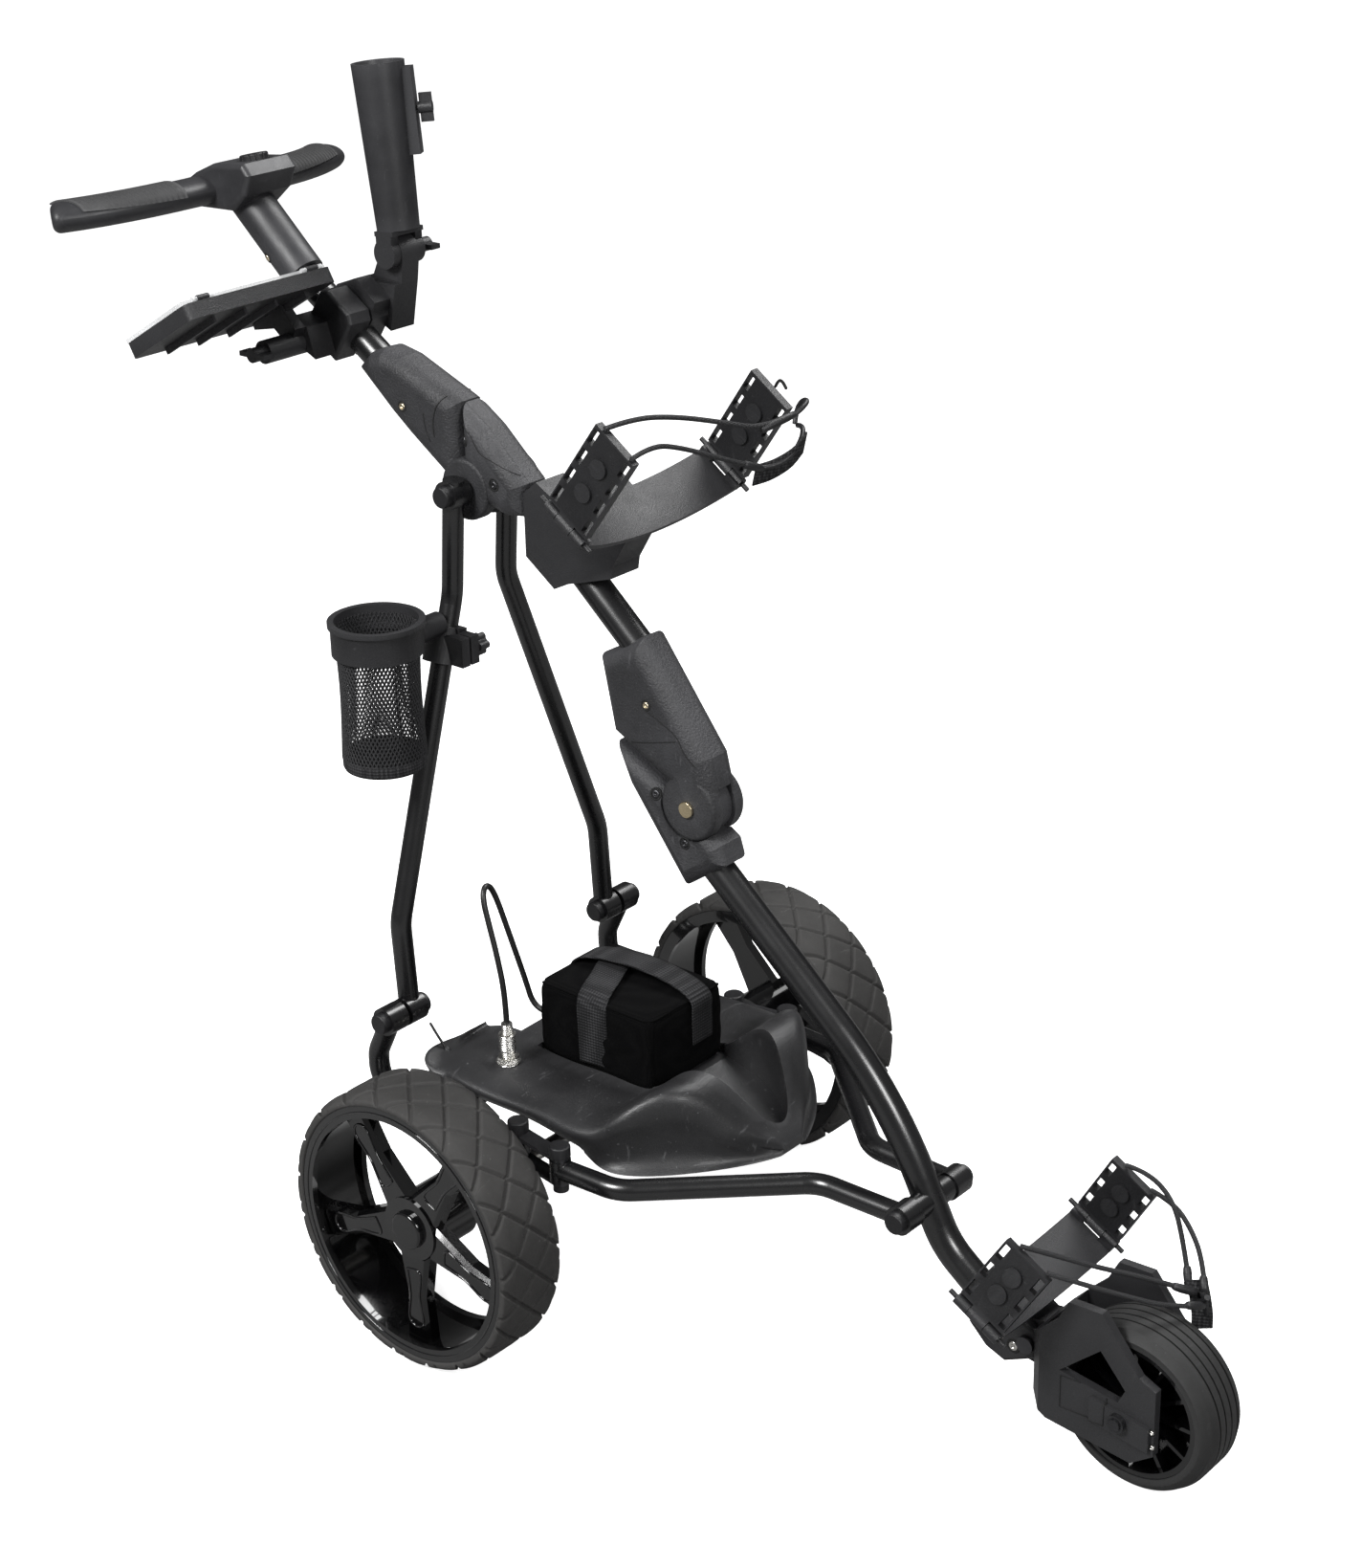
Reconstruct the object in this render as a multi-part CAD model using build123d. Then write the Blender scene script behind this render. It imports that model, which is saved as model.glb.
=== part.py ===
from build123d import *
import math
import os

# Three-wheel electric golf trolley, in millimetres: +X to the front wheel, +Y to the left, +Z up.
# Every point below is measured along X from the rear axle. place() moves the finished pieces so
# that the origin is the middle of the whole object's box, on the ground.

# --- wheels -------------------------------------------------------------------------------------
REAR_WHEEL_R = 150.0
REAR_TYRE_W = 80.0
REAR_TYRE_T = 12.0
REAR_TRACK = 546.0
REAR_RIM_W = 76.0
REAR_RIM_T = 7.0
REAR_LIP_T = 13.0
SPOKE_COUNT = 5
SPOKE_W = 34.0
SPOKE_T = 15.0
SPOKE_INSET = 16.0
REAR_HUB_R = 34.0
REAR_HUB_L = 62.0
HUB_BUTTON_R = 20.0
HUB_BUTTON_TRAVEL = 4.0
HUB_RECESS = 12.0
FRONT_WHEEL_R = 87.0
FRONT_WHEEL_W = 64.0
FRONT_TYRE_T = 17.0
FRONT_AXLE_X = 672.0
FRONT_RIM_T = 6.0
FRONT_HUB_R = 17.0
FRONT_RIB_COUNT = 12
FRONT_GROOVES_Y = (-15.0, -5.0, 5.0, 15.0)
FRONT_GROOVE_W = 2.0
FRONT_GROOVE_T = 1.6
REAR_AXLE_R = 8.0
FRONT_AXLE_R = 6.0

# --- fits ---------------------------------------------------------------------------------------
RUN_FIT = 0.05
GAP = 0.3
WIDE_GAP = 0.6

# --- frame tubes --------------------------------------------------------------------------------
MAIN_TUBE_R = 16.0
STAY_R = 11.0
TUBE_WALL = 1.6
MAIN_BEND_R = 420.0
MAIN_FOOT_BEND_R = 90.0
STAY_BEND_R = 60.0
FRAME_BEND_R = 30.0

# --- pivots of the folding frame: (X, Z) of axes that all run along Y ----------------------------
KNEE = (141.0, 549.0)
FRONT_PIVOT = (420.0, 203.0)
ELBOW = (-144.0, 820.0)
FOOT = (-134.0, 292.0)
PIN_R = 5.0
BOLT_R = 4.0
CAP_R = 11.0
CAP_H = 8.0

# --- main line of the frame, in the middle plane: (X, Z) -----------------------------------------
LOWER_TUBE_TOP = (128.0, 510.0)
LOWER_TUBE_BEND = (372.0, 298.0)
LOWER_TUBE_FOOT = (441.0, 160.0)
LOWER_TUBE_END = (520.0, 101.0)
MID_TUBE_TOP = (-98.0, 838.0)
MID_TUBE_END = (90.0, 671.0)
HANDLE_TUBE_END = (-225.0, 893.0)
HANDLE_TUBE_TOP = (-430.0, 1031.0)

# --- joint housings ------------------------------------------------------------------------------
HOUSING_HALF_W = 24.0
TONGUE_HALF_W = 8.5
KNEE_BOSS_R = 34.0
ELBOW_BOSS_R = 32.0
ELBOW_FRONT_X = -67.0
HOUSING_ROUND = 18.0

# --- stays ---------------------------------------------------------------------------------------
STAY_TOP_Y = 39.0
STAY_FOOT_Y = 151.0
STAY_BEND_TOP = (-153.0, 713.0)
STAY_BEND_LOW = (-141.0, 389.0)
STAY_OVER = 15.0
STAY_TOE = 10.0

# --- chassis -------------------------------------------------------------------------------------
RAIL_Y = 179.0
RAIL_FRONT_Y = 171.0
RAIL_Z = 202.0
RAIL_FRONT_X = 42.0
RAIL_BACK_X = -157.0
CROSS_X = -66.0
CROSS_R = 10.5
AXLE_BLOCK_Y = 172.0
AXLE_BLOCK_T = 14.0
LOWER_STAY_Z = RAIL_Z
LINK_X = 100.0
LINK_Y = 181.0
LINK_T = 4.0
LINK_W = 18.0
RAIL_BOLT_X = 34.0
RAIL_BOLT_Y = 171.0
STAY_EYE_R = 15.0
EYE_HALF = STAY_R + 0.6
FRONT_EYE_Y = 40.0
STAY_FRONT_BEND_R = 45.0

# --- drive ---------------------------------------------------------------------------------------
GEAR_MODULE = 2.0
GEAR_TEETH = 40
PINION_TEETH = 12
GEAR_T = 14.0
GEAR_Y = -10.0
PRESSURE_ANGLE = 20.0
BACKLASH = 0.35
GEARBOX_WALL = 4.0
MOTOR_SHAFT_R = 4.0
MOTOR_FACE_Y = 4.0
MOTOR_R = 30.0
MOTOR_L = 118.0

# --- tray and battery ----------------------------------------------------------------------------
TRAY_WALL = 4.0
TRAY_FLOOR_Z = 232.0
TRAY_FOOT_Y = 141.0
BATTERY_X = 37.0
BATTERY_Y = 0.0
BATTERY_L = 154.0
BATTERY_W = 116.0
BATTERY_H = 86.0
BAG_T = 4.0
SOCKET_X = -42.0
SOCKET_Y = -104.0
SOCKET_R = 9.0
SOCKET_BASE_Z = 239.0
LEAD_R = 3.2
SCOOP_BACK_X = 116.0
SCOOP_TIP_X = 238.0
TRAY_SECTIONS = (
    (-127.0, 100.0, 96.0, 236.0, 222.0),
    (-100.0, 160.0, 150.0, 240.0, 216.0),
    (-40.0, 158.0, 122.0, 241.0, 206.0),
    (34.0, 155.0, 120.0, 241.0, 203.0),
    (90.0, 158.0, 138.0, 242.0, 199.0),
    (116.0, 155.0, 147.0, 246.0, 197.0),
    (145.0, 142.0, 148.0, 268.0, 197.0),
    (172.0, 118.0, 132.0, 283.0, 197.0),
    (205.0, 84.0, 98.0, 266.0, 197.0),
    (235.0, 44.0, 56.0, 226.0, 197.0),
    (252.0, 16.0, 20.0, 207.0, 197.0),
)

# --- front fork ----------------------------------------------------------------------------------
FORK_INNER_Y = 38.0
FORK_T = 9.0
BRACKET_HALF_W = 26.0
FORK_GAP_X = 580.0
FRONT_CLEAR_Y = 35.0
FORK_BOLT = (554.0, 108.0)

# --- bag cradles ---------------------------------------------------------------------------------
SADDLE_R = 300.0
SADDLE_T = 5.0
UPPER_SADDLE_ANGLE = 21.5
LOWER_SADDLE_ANGLE = 18.5
PAD_W = 54.0
PAD_T = 9.0
UPPER_PAD_H = 100.0
LOWER_PAD_H = 72.0
PAD_PIN_R = 2.5
UPPER_CRADLE = (-12.0, 752.0)
UPPER_CRADLE_TILT = 36.0
UPPER_CRADLE_RISE = 112.0
LOWER_CRADLE = (505.0, 112.0)
LOWER_CRADLE_TILT = 30.0
LOWER_CRADLE_RISE = 56.0
CRADLE_SHIFT = 14.0
LOWER_SHIFT = 6.0
UPPER_LEAN = 2.0
LOWER_LEAN_LEFT = 0.0
LOWER_LEAN_RIGHT = 18.0
CORD_R = 2.5
CORD_BEND_MAX = 90.0
UPPER_CORDS = (
    (
        (130.8, -114.0, 954.2), (138.0, -82.0, 958.0), (150.0, -38.0, 951.0),
        (163.0, 12.0, 936.0), (176.0, 56.0, 921.0), (186.0, 92.0, 929.0),
    ),
    (
        (162.0, -114.0, 931.4), (160.0, -84.0, 937.0), (161.0, -44.0, 925.0),
        (167.0, 6.0, 903.0), (177.0, 54.0, 883.0),
    ),
)
LOWER_CORDS = (
    (
        (575.3, -74.2, 249.7), (602.0, -46.0, 234.0), (628.0, -19.0, 219.0),
        (658.0, 12.0, 205.0), (686.0, 44.0, 186.0),
    ),
    (
        (604.7, -74.2, 232.7), (636.0, -52.0, 220.0), (659.0, -27.0, 206.0),
        (684.0, 2.0, 190.0), (700.0, 34.0, 180.0),
    ),
    (
        (578.2, 100.2, 252.7), (606.0, 95.0, 258.0), (638.0, 88.0, 243.0),
        (657.0, 77.0, 212.0), (673.0, 62.0, 185.0),
    ),
    (
        (606.8, 100.2, 236.2), (638.0, 90.0, 239.0), (662.0, 82.0, 224.0),
        (682.0, 70.0, 206.0), (694.0, 56.0, 188.0),
    ),
)

# --- handle --------------------------------------------------------------------------------------
TEE_X = -484.0
TEE_Z = 1078.0
TEE_HALF_W = 186.0
NECK_LOW = (-384.0, 1000.0)
NECK_HIGH = (-470.0, 1078.0)
NECK_R = 22.0
TEE_TIP_X = -550.0
TEE_TIP_Z = 1070.0
BAR_HALF_X = 27.0
BAR_HALF_Z = 15.5
BAR_TIP_ROUND = 8.0
DIAL_AT = (-446.0, 1102.0)
CLAMP_AT = (-324.0, 960.0)
CLAMP_L = 52.0
CLAMP_HALF_W = 30.0
UMBRELLA_Y = 45.0
UMBRELLA_PIVOT = (-288.0, 1029.0)
UMBRELLA_R = 22.0
UMBRELLA_BORE_R = 18.5
UMBRELLA_FLARE = 5.0
UMBRELLA_L = 166.0
UMBRELLA_FLOOR = 6.0
UMBRELLA_BORE_TOP = 108.0
UMBRELLA_LEAN = 5.5
UMBRELLA_SEAT = 23.0
RIB_TURN = 35.0
KNOB_UP = 118.0
CARD_Y = -127.0
CARD_W = 190.0
CARD_D = 112.0
CARD_T = 16.0
CARD_LID_T = 4.0
CARD_TILT = 30.0
CARD_FRONT = (-308.0, 1026.0)
CARD_LUG_Y = 58.0
CARD_HINGE_Z = 2.7
CARD_PIVOT = (-336.0, 948.0)

# --- drink holder --------------------------------------------------------------------------------
DRINK_Z = 705.0
DRINK_CENTRE = (-143.0, -155.0)
DRINK_CLAMP_Z = 664.0
DRINK_ARM_X = -150.0
DRINK_ARM_Z = 688.0
DRINK_ARM_Y = -98.0
DRINK_R = 46.0
DRINK_RING_T = 4.0
DRINK_RING_H = 34.0
DRINK_DEPTH = 158.0
DRINK_NET_T = 2.0


def mirror_y(shape):
    """The same piece on the other side of the middle plane."""
    return mirror(shape, about=Plane.XZ)


def at(point, y=0.0):
    """An (X, Z) point of the middle plane, moved to the given Y."""
    return (point[0], y, point[1])


def rod(start, end, radius):
    """Round bar from one point to another."""
    axis = Vector(*end) - Vector(*start)
    plane = Plane(origin=start, z_dir=axis)
    return plane * Cylinder(radius, axis.length, align=(Align.CENTER, Align.CENTER, Align.MIN))


def y_rod(point, radius, y_low, y_high):
    """Round bar along Y through an (X, Z) point."""
    return rod(at(point, y_low), at(point, y_high), radius)


def sweep_disc(path, radius):
    start = Plane(origin=path @ 0, z_dir=path % 0)
    return sweep(start * Circle(radius), path=path)


def tube(points, bend, radius, wall=TUBE_WALL):
    """Hollow tube along straight runs joined by arcs."""
    path = FilletPolyline(*points, radius=bend) if len(points) > 2 else Line(*points)
    return sweep_disc(path, radius) - sweep_disc(path, radius - wall)


def slab(points, y_low, y_high, round_r=0.0):
    """Flat plate with an (X, Z) outline, from y_low to y_high."""
    outline = Polyline(*points, close=True)
    if round_r:
        outline = FilletPolyline(*points, radius=round_r, close=True)
    plane = Plane(origin=(0, y_high, 0), x_dir=(1, 0, 0), z_dir=(0, -1, 0))
    return extrude(plane * make_face(outline), amount=y_high - y_low)


def block(centre, size):
    return Pos(*centre) * Box(*size)


def tilted(origin, angle, shape):
    """Shape built in a local frame (X along a slope, Z square to it), set at (X, Z) with that slope."""
    return Pos(origin[0], 0, origin[1]) * Rot(0, angle, 0) * shape


def ring_y(outer, inner, y_low, y_high):
    """Ring about the Y axis."""
    body = y_rod((0, 0), outer, y_low, y_high)
    if inner:
        body = body - y_rod((0, 0), inner, y_low - 1, y_high + 1)
    return body


def turned_y(points):
    """Solid of revolution about Y from (radius, y) points."""
    return revolve(make_face(Polyline(*points, close=True)), axis=Axis.Y)


# --- rear wheels --------------------------------------------------------------------------------
def rear_tyre():
    inner = REAR_WHEEL_R - REAR_TYRE_T
    half = REAR_TYRE_W / 2
    points = [
        (inner, -half),
        (REAR_WHEEL_R - 7, -half),
        (REAR_WHEEL_R - 2, -half + 5),
        (REAR_WHEEL_R, -half + 16),
        (REAR_WHEEL_R, half - 16),
        (REAR_WHEEL_R - 2, half - 5),
        (REAR_WHEEL_R - 7, half),
        (inner, half),
    ]
    return turned_y(points)


def spoke(angle):
    """One tapered spoke from the hub to the rim barrel."""
    reach = REAR_WHEEL_R - REAR_TYRE_T - REAR_RIM_T + 2
    face = REAR_RIM_W / 2 - SPOKE_INSET
    outline = make_face(
        Polyline(
            (REAR_HUB_R - 6, -SPOKE_W * 0.62),
            (reach * 0.6, -SPOKE_W * 0.36),
            (reach, -SPOKE_W / 2),
            (reach, SPOKE_W / 2),
            (reach * 0.6, SPOKE_W * 0.36),
            (REAR_HUB_R - 6, SPOKE_W * 0.62),
            close=True,
        )
    )
    plane = Plane(origin=(0, face, 0), x_dir=(1, 0, 0), z_dir=(0, -1, 0))
    flat = extrude(plane * outline, amount=SPOKE_T)
    edges = [e for e in flat.edges().group_by(Axis.Y)[-1] if e.length > 20]
    return Rot(0, angle, 0) * chamfer(edges, 4)


def rear_rim():
    outer = REAR_WHEEL_R - REAR_TYRE_T
    half = REAR_RIM_W / 2
    barrel = ring_y(outer, outer - REAR_RIM_T, -half, half)
    lips = ring_y(outer, outer - REAR_LIP_T, half - 7, half) + ring_y(outer, outer - REAR_LIP_T, -half, -half + 7)
    face = half - SPOKE_INSET
    hub = ring_y(REAR_HUB_R, 0, face + 2 - REAR_HUB_L, face + 2)
    body = barrel + lips + hub
    for index in range(SPOKE_COUNT):
        body = body + spoke(18 + index * 360 / SPOKE_COUNT)
    barrel_space = ring_y(outer + 20, outer, -half, half)
    recess = ring_y(HUB_BUTTON_R + GAP, 0, face + 2 - HUB_RECESS, face + 30)
    bore = ring_y(REAR_AXLE_R + RUN_FIT, 0, -half - 30, face + 30)
    return body - barrel_space - recess - bore


def hub_button():
    face = REAR_RIM_W / 2 - SPOKE_INSET + 2
    low = face - HUB_RECESS + HUB_BUTTON_TRAVEL + GAP
    button = ring_y(HUB_BUTTON_R, 0, low, face + 6)
    return fillet(button.edges().group_by(Axis.Y)[-1], 3)


def both_sides(left, name):
    """Left piece as drawn and its mirror image, as two nodes."""
    return {name + "_left": left, name + "_right": mirror_y(left)}


def rear_wheel_nodes():
    spot = Pos(0, REAR_TRACK / 2, REAR_WHEEL_R)
    nodes = both_sides(spot * rear_tyre(), "tyre")
    nodes.update(both_sides(spot * rear_rim(), "rim"))
    nodes.update(both_sides(spot * hub_button(), "hub_button"))
    return nodes


# --- front wheel --------------------------------------------------------------------------------
def front_tyre():
    half = FRONT_WHEEL_W / 2
    inner = FRONT_WHEEL_R - FRONT_TYRE_T
    points = [
        (inner, -half),
        (inner + 6, -half),
        (FRONT_WHEEL_R - 3, -half + 7),
        (FRONT_WHEEL_R, -half + 15),
        (FRONT_WHEEL_R, half - 15),
        (FRONT_WHEEL_R - 3, half - 7),
        (inner + 6, half),
        (inner, half),
    ]
    body = turned_y(points)
    for centre in FRONT_GROOVES_Y:
        low = centre - FRONT_GROOVE_W / 2
        body = body - ring_y(FRONT_WHEEL_R + 2, FRONT_WHEEL_R - FRONT_GROOVE_T, low, low + FRONT_GROOVE_W)
    return Pos(FRONT_AXLE_X, 0, FRONT_WHEEL_R) * body


def front_rim():
    half = FRONT_WHEEL_W / 2 - 2
    outer = FRONT_WHEEL_R - FRONT_TYRE_T
    body = ring_y(outer, outer - FRONT_RIM_T, -half, half)
    body = body + ring_y(FRONT_HUB_R, 0, -half - 2, half + 2)
    body = body + ring_y(outer - 1, FRONT_HUB_R - 1, -3, 3)
    rib_l = outer - FRONT_HUB_R - 1
    for index in range(FRONT_RIB_COUNT):
        rib = block((FRONT_HUB_R - 1 + rib_l / 2, 0, 0), (rib_l, 2 * half - 12, 4))
        body = body + Rot(0, index * 360 / FRONT_RIB_COUNT, 0) * rib
    body = body - ring_y(FRONT_AXLE_R + RUN_FIT, 0, -60, 60)
    return Pos(FRONT_AXLE_X, 0, FRONT_WHEEL_R) * body


# --- frame tubes ----------------------------------------------------------------------------------
def eye(point, radius, y_low, y_high, bore):
    """Flat eye around a cross bolt; returns the boss and its bore."""
    return y_rod(point, radius, y_low, y_high), y_rod(point, bore, y_low - 1, y_high + 1)


def rail(side):
    """One bent side tube of the axle frame, from its rear knuckle to its front end."""
    y = side * RAIL_Y
    points = [
        at(FOOT, y),
        (RAIL_BACK_X, y, 246.0),
        (RAIL_BACK_X, y, RAIL_Z),
        (RAIL_FRONT_X, side * RAIL_FRONT_Y, RAIL_Z),
    ]
    return sweep_disc(FilletPolyline(*points, radius=FRAME_BEND_R), STAY_R)


def axle_frame():
    body = rail(1) + rail(-1)
    body = body + rod((CROSS_X, -RAIL_Y, RAIL_Z), (CROSS_X, RAIL_Y, RAIL_Z), CROSS_R)
    for side in (1, -1):
        centre = side * RAIL_Y
        body = body + y_rod(FOOT, STAY_EYE_R, centre - EYE_HALF, centre + EYE_HALF)
        body = body - y_rod(FOOT, BOLT_R, centre - 20, centre + 20)
        bolt = (RAIL_BOLT_X, side * RAIL_BOLT_Y)
        body = body + rod((bolt[0], bolt[1], RAIL_Z - EYE_HALF), (bolt[0], bolt[1], RAIL_Z + EYE_HALF), STAY_R)
        body = body - rod((bolt[0], bolt[1], 150), (bolt[0], bolt[1], 250), BOLT_R)
    return body


def bearing_block(side):
    """Hanger that carries one end of the drive axle under its rail."""
    centre = side * AXLE_BLOCK_Y
    low, high = centre - AXLE_BLOCK_T / 2, centre + AXLE_BLOCK_T / 2
    outline = [(-17, 150), (-26, RAIL_Z + 6), (26, RAIL_Z + 6), (17, 150)]
    body = slab(outline, low, high) + y_rod((0, REAR_WHEEL_R), 17, low, high)
    body = body - y_rod((0, REAR_WHEEL_R), REAR_AXLE_R + RUN_FIT, low - 1, high + 1)
    return body - rail(side)


def lower_stay(side):
    points = [
        (LINK_X, side * LINK_Y, LOWER_STAY_Z),
        (172.0, side * 176.0, LOWER_STAY_Z),
        (318.0, side * 43.0, LOWER_STAY_Z + 1),
        at(FRONT_PIVOT, side * FRONT_EYE_Y),
    ]
    body = sweep_disc(FilletPolyline(*points, radius=STAY_FRONT_BEND_R), STAY_R)
    body = body + rod((LINK_X, side * LINK_Y, RAIL_Z - EYE_HALF), (LINK_X, side * LINK_Y, RAIL_Z + EYE_HALF), STAY_R)
    centre = side * FRONT_EYE_Y
    body = body + y_rod(FRONT_PIVOT, STAY_EYE_R, centre - EYE_HALF, centre + EYE_HALF)
    body = body - y_rod(FRONT_PIVOT, BOLT_R, centre - 20, centre + 20)
    return body - rod((LINK_X, side * LINK_Y, 150), (LINK_X, side * LINK_Y, 250), BOLT_R)


def link_plate(side, z_low):
    """Flat strap that ties a rail to the lower stay in front of it."""
    start = Vector(RAIL_BOLT_X, side * RAIL_BOLT_Y, z_low)
    end = Vector(LINK_X, side * LINK_Y, z_low)
    span = end - start
    body = rod(tuple(start), (start.X, start.Y, z_low + LINK_T), LINK_W / 2)
    body = body + rod(tuple(end), (end.X, end.Y, z_low + LINK_T), LINK_W / 2)
    middle = (start + end) * 0.5
    turn = math.degrees(math.atan2(span.Y, span.X))
    bar = Box(span.length, LINK_W, LINK_T, align=(Align.CENTER, Align.CENTER, Align.MIN))
    body = body + Pos(middle.X, middle.Y, z_low) * Rot(0, 0, turn) * bar
    for spot in (start, end):
        body = body - rod((spot.X, spot.Y, 150), (spot.X, spot.Y, 250), BOLT_R)
    return body


def link_plates():
    top = RAIL_Z + EYE_HALF
    bottom = RAIL_Z - EYE_HALF - LINK_T
    return [link_plate(side, z) for side in (1, -1) for z in (top, bottom)]


def cap_bolt_z(x, y):
    """Upright bolt with a round knob head, through a tube and its two straps."""
    top = RAIL_Z + EYE_HALF + LINK_T
    low = RAIL_Z - EYE_HALF - LINK_T
    body = rod((x, y, low - 3), (x, y, top + 2), BOLT_R)
    body = body + rod((x, y, top), (x, y, top + 12), CAP_R)
    body = fillet(body.edges().group_by(Axis.Z)[-1], 2)
    nut = rod((x, y, low - 8), (x, y, low), 8)
    return body + nut


def cap(point, y, side):
    """Round bolt cap on a cross bolt, pointing outward."""
    body = y_rod(point, CAP_R, min(y, y + side * CAP_H), max(y, y + side * CAP_H))
    outer = body.edges().group_by(Axis.Y)[-1 if side > 0 else 0]
    return fillet(outer, 2)


def foot_bolt(side):
    """Cross bolt at the rear knuckle: a turning fit in the stay, tight in the rail."""
    near = side * (STAY_FOOT_Y - EYE_HALF - GAP)
    far = side * (RAIL_Y + EYE_HALF)
    body = y_rod(FOOT, BOLT_R, min(near, far), max(near, far))
    return body + cap(FOOT, near, -side) + cap(FOOT, far, side)


def front_bolt():
    reach = FRONT_EYE_Y + EYE_HALF
    return y_rod(FRONT_PIVOT, BOLT_R, -reach, reach) + cap(FRONT_PIVOT, reach, 1) + cap(FRONT_PIVOT, -reach, -1)


def chassis_bolts():
    bolts = [front_bolt(), foot_bolt(1), foot_bolt(-1)]
    for side in (1, -1):
        bolts.append(cap_bolt_z(RAIL_BOLT_X, side * RAIL_BOLT_Y))
        bolts.append(cap_bolt_z(LINK_X, side * LINK_Y))
    return bolts


# --- drive ----------------------------------------------------------------------------------------
def tooth_profile(teeth):
    """One involute tooth space-to-space outline, as points in polar steps about the centre."""
    pitch_r = GEAR_MODULE * teeth / 2
    base_r = pitch_r * math.cos(math.radians(PRESSURE_ANGLE))
    tip_r = pitch_r + GEAR_MODULE * 0.9
    root_r = pitch_r - GEAR_MODULE * 1.2
    half = math.pi / (2 * teeth) - BACKLASH / (2 * pitch_r)
    inv_pitch = math.tan(math.radians(PRESSURE_ANGLE)) - math.radians(PRESSURE_ANGLE)
    flank = []
    for step in range(5):
        radius = max(base_r, root_r) + (tip_r - max(base_r, root_r)) * step / 4
        roll = math.acos(min(1.0, base_r / radius))
        angle = half + inv_pitch - (math.tan(roll) - roll)
        flank.append((radius, angle))
    return root_r, flank


def gear(teeth, phase):
    """Spur gear about the Z axis."""
    root_r, flank = tooth_profile(teeth)
    points = []
    for index in range(teeth):
        centre = phase + 2 * math.pi * index / teeth
        points.append((root_r, centre - flank[0][1] - 0.002))
        points.extend((radius, centre - angle) for radius, angle in flank)
        points.extend((radius, centre + angle) for radius, angle in reversed(flank))
        points.append((root_r, centre + flank[0][1] + 0.002))
    outline = Polyline(*[(r * math.cos(a), r * math.sin(a)) for r, a in points], close=True)
    return extrude(make_face(outline), amount=GEAR_T)


def on_gear_plane(x, shape):
    """Gear drawn about Z, stood up so that it turns about Y at the drive height."""
    return Pos(x, GEAR_Y + GEAR_T / 2, REAR_WHEEL_R) * Rot(90, 0, 0) * shape


def pinion_x():
    return GEAR_MODULE * (GEAR_TEETH + PINION_TEETH) / 2


def drive_axle():
    reach = REAR_TRACK / 2 + REAR_RIM_W / 2 - SPOKE_INSET + 2 - HUB_RECESS - WIDE_GAP
    shaft = y_rod((0, REAR_WHEEL_R), REAR_AXLE_R, -reach, reach)
    wheel = on_gear_plane(0, gear(GEAR_TEETH, 0.0))
    return shaft + wheel


def motor_pinion():
    wheel = on_gear_plane(pinion_x(), gear(PINION_TEETH, math.pi + math.pi / PINION_TEETH))
    shaft = y_rod((pinion_x(), REAR_WHEEL_R), MOTOR_SHAFT_R, GEAR_Y - GEAR_T / 2 - 2, MOTOR_FACE_Y + 8)
    return wheel + shaft


def round_outline(rear_r, front_r, lug_r):
    """Side view of the gearbox: round the gear, round the pinion, up to the cross tube."""
    pieces = [
        Pos(0, REAR_WHEEL_R) * Circle(rear_r),
        Pos(pinion_x(), REAR_WHEEL_R) * Circle(front_r),
    ]
    if lug_r:
        pieces.append(Pos(CROSS_X, RAIL_Z) * Circle(lug_r))
    return make_hull([edge for piece in pieces for edge in piece.edges()])


def stand_y(flat, y_low, y_high):
    """Extrude a face drawn in (X, Z) from y_low to y_high."""
    plane = Plane(origin=(0, y_high, 0), x_dir=(1, 0, 0), z_dir=(0, -1, 0))
    return extrude(plane * flat, amount=y_high - y_low)


def gearbox_housing():
    gear_tip = GEAR_MODULE * (GEAR_TEETH / 2 + 1) + 2
    pinion_tip = GEAR_MODULE * (PINION_TEETH / 2 + 1) + 3
    low = GEAR_Y - GEAR_T / 2 - 3
    high = GEAR_Y + GEAR_T / 2 + 3
    outer = round_outline(gear_tip + GEARBOX_WALL, pinion_tip + GEARBOX_WALL + 8, STAY_R + 6)
    body = stand_y(outer, low - GEARBOX_WALL, high + GEARBOX_WALL)
    body = body - stand_y(round_outline(gear_tip, pinion_tip, 0), low, high)
    body = body - y_rod((0, REAR_WHEEL_R), REAR_AXLE_R + RUN_FIT, low - 20, high + 20)
    body = body - y_rod((pinion_x(), REAR_WHEEL_R), MOTOR_SHAFT_R + RUN_FIT, GEAR_Y, high + 20)
    return body - y_rod((CROSS_X, RAIL_Z), CROSS_R, low - 20, high + 20)


def motor():
    body = y_rod((pinion_x(), REAR_WHEEL_R), MOTOR_R, MOTOR_FACE_Y, MOTOR_FACE_Y + MOTOR_L)
    body = chamfer(body.edges().group_by(Axis.Y)[-1], 3)
    pocket = y_rod((pinion_x(), REAR_WHEEL_R), MOTOR_SHAFT_R + 1, MOTOR_FACE_Y - 1, MOTOR_FACE_Y + 10)
    return body - pocket


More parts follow.
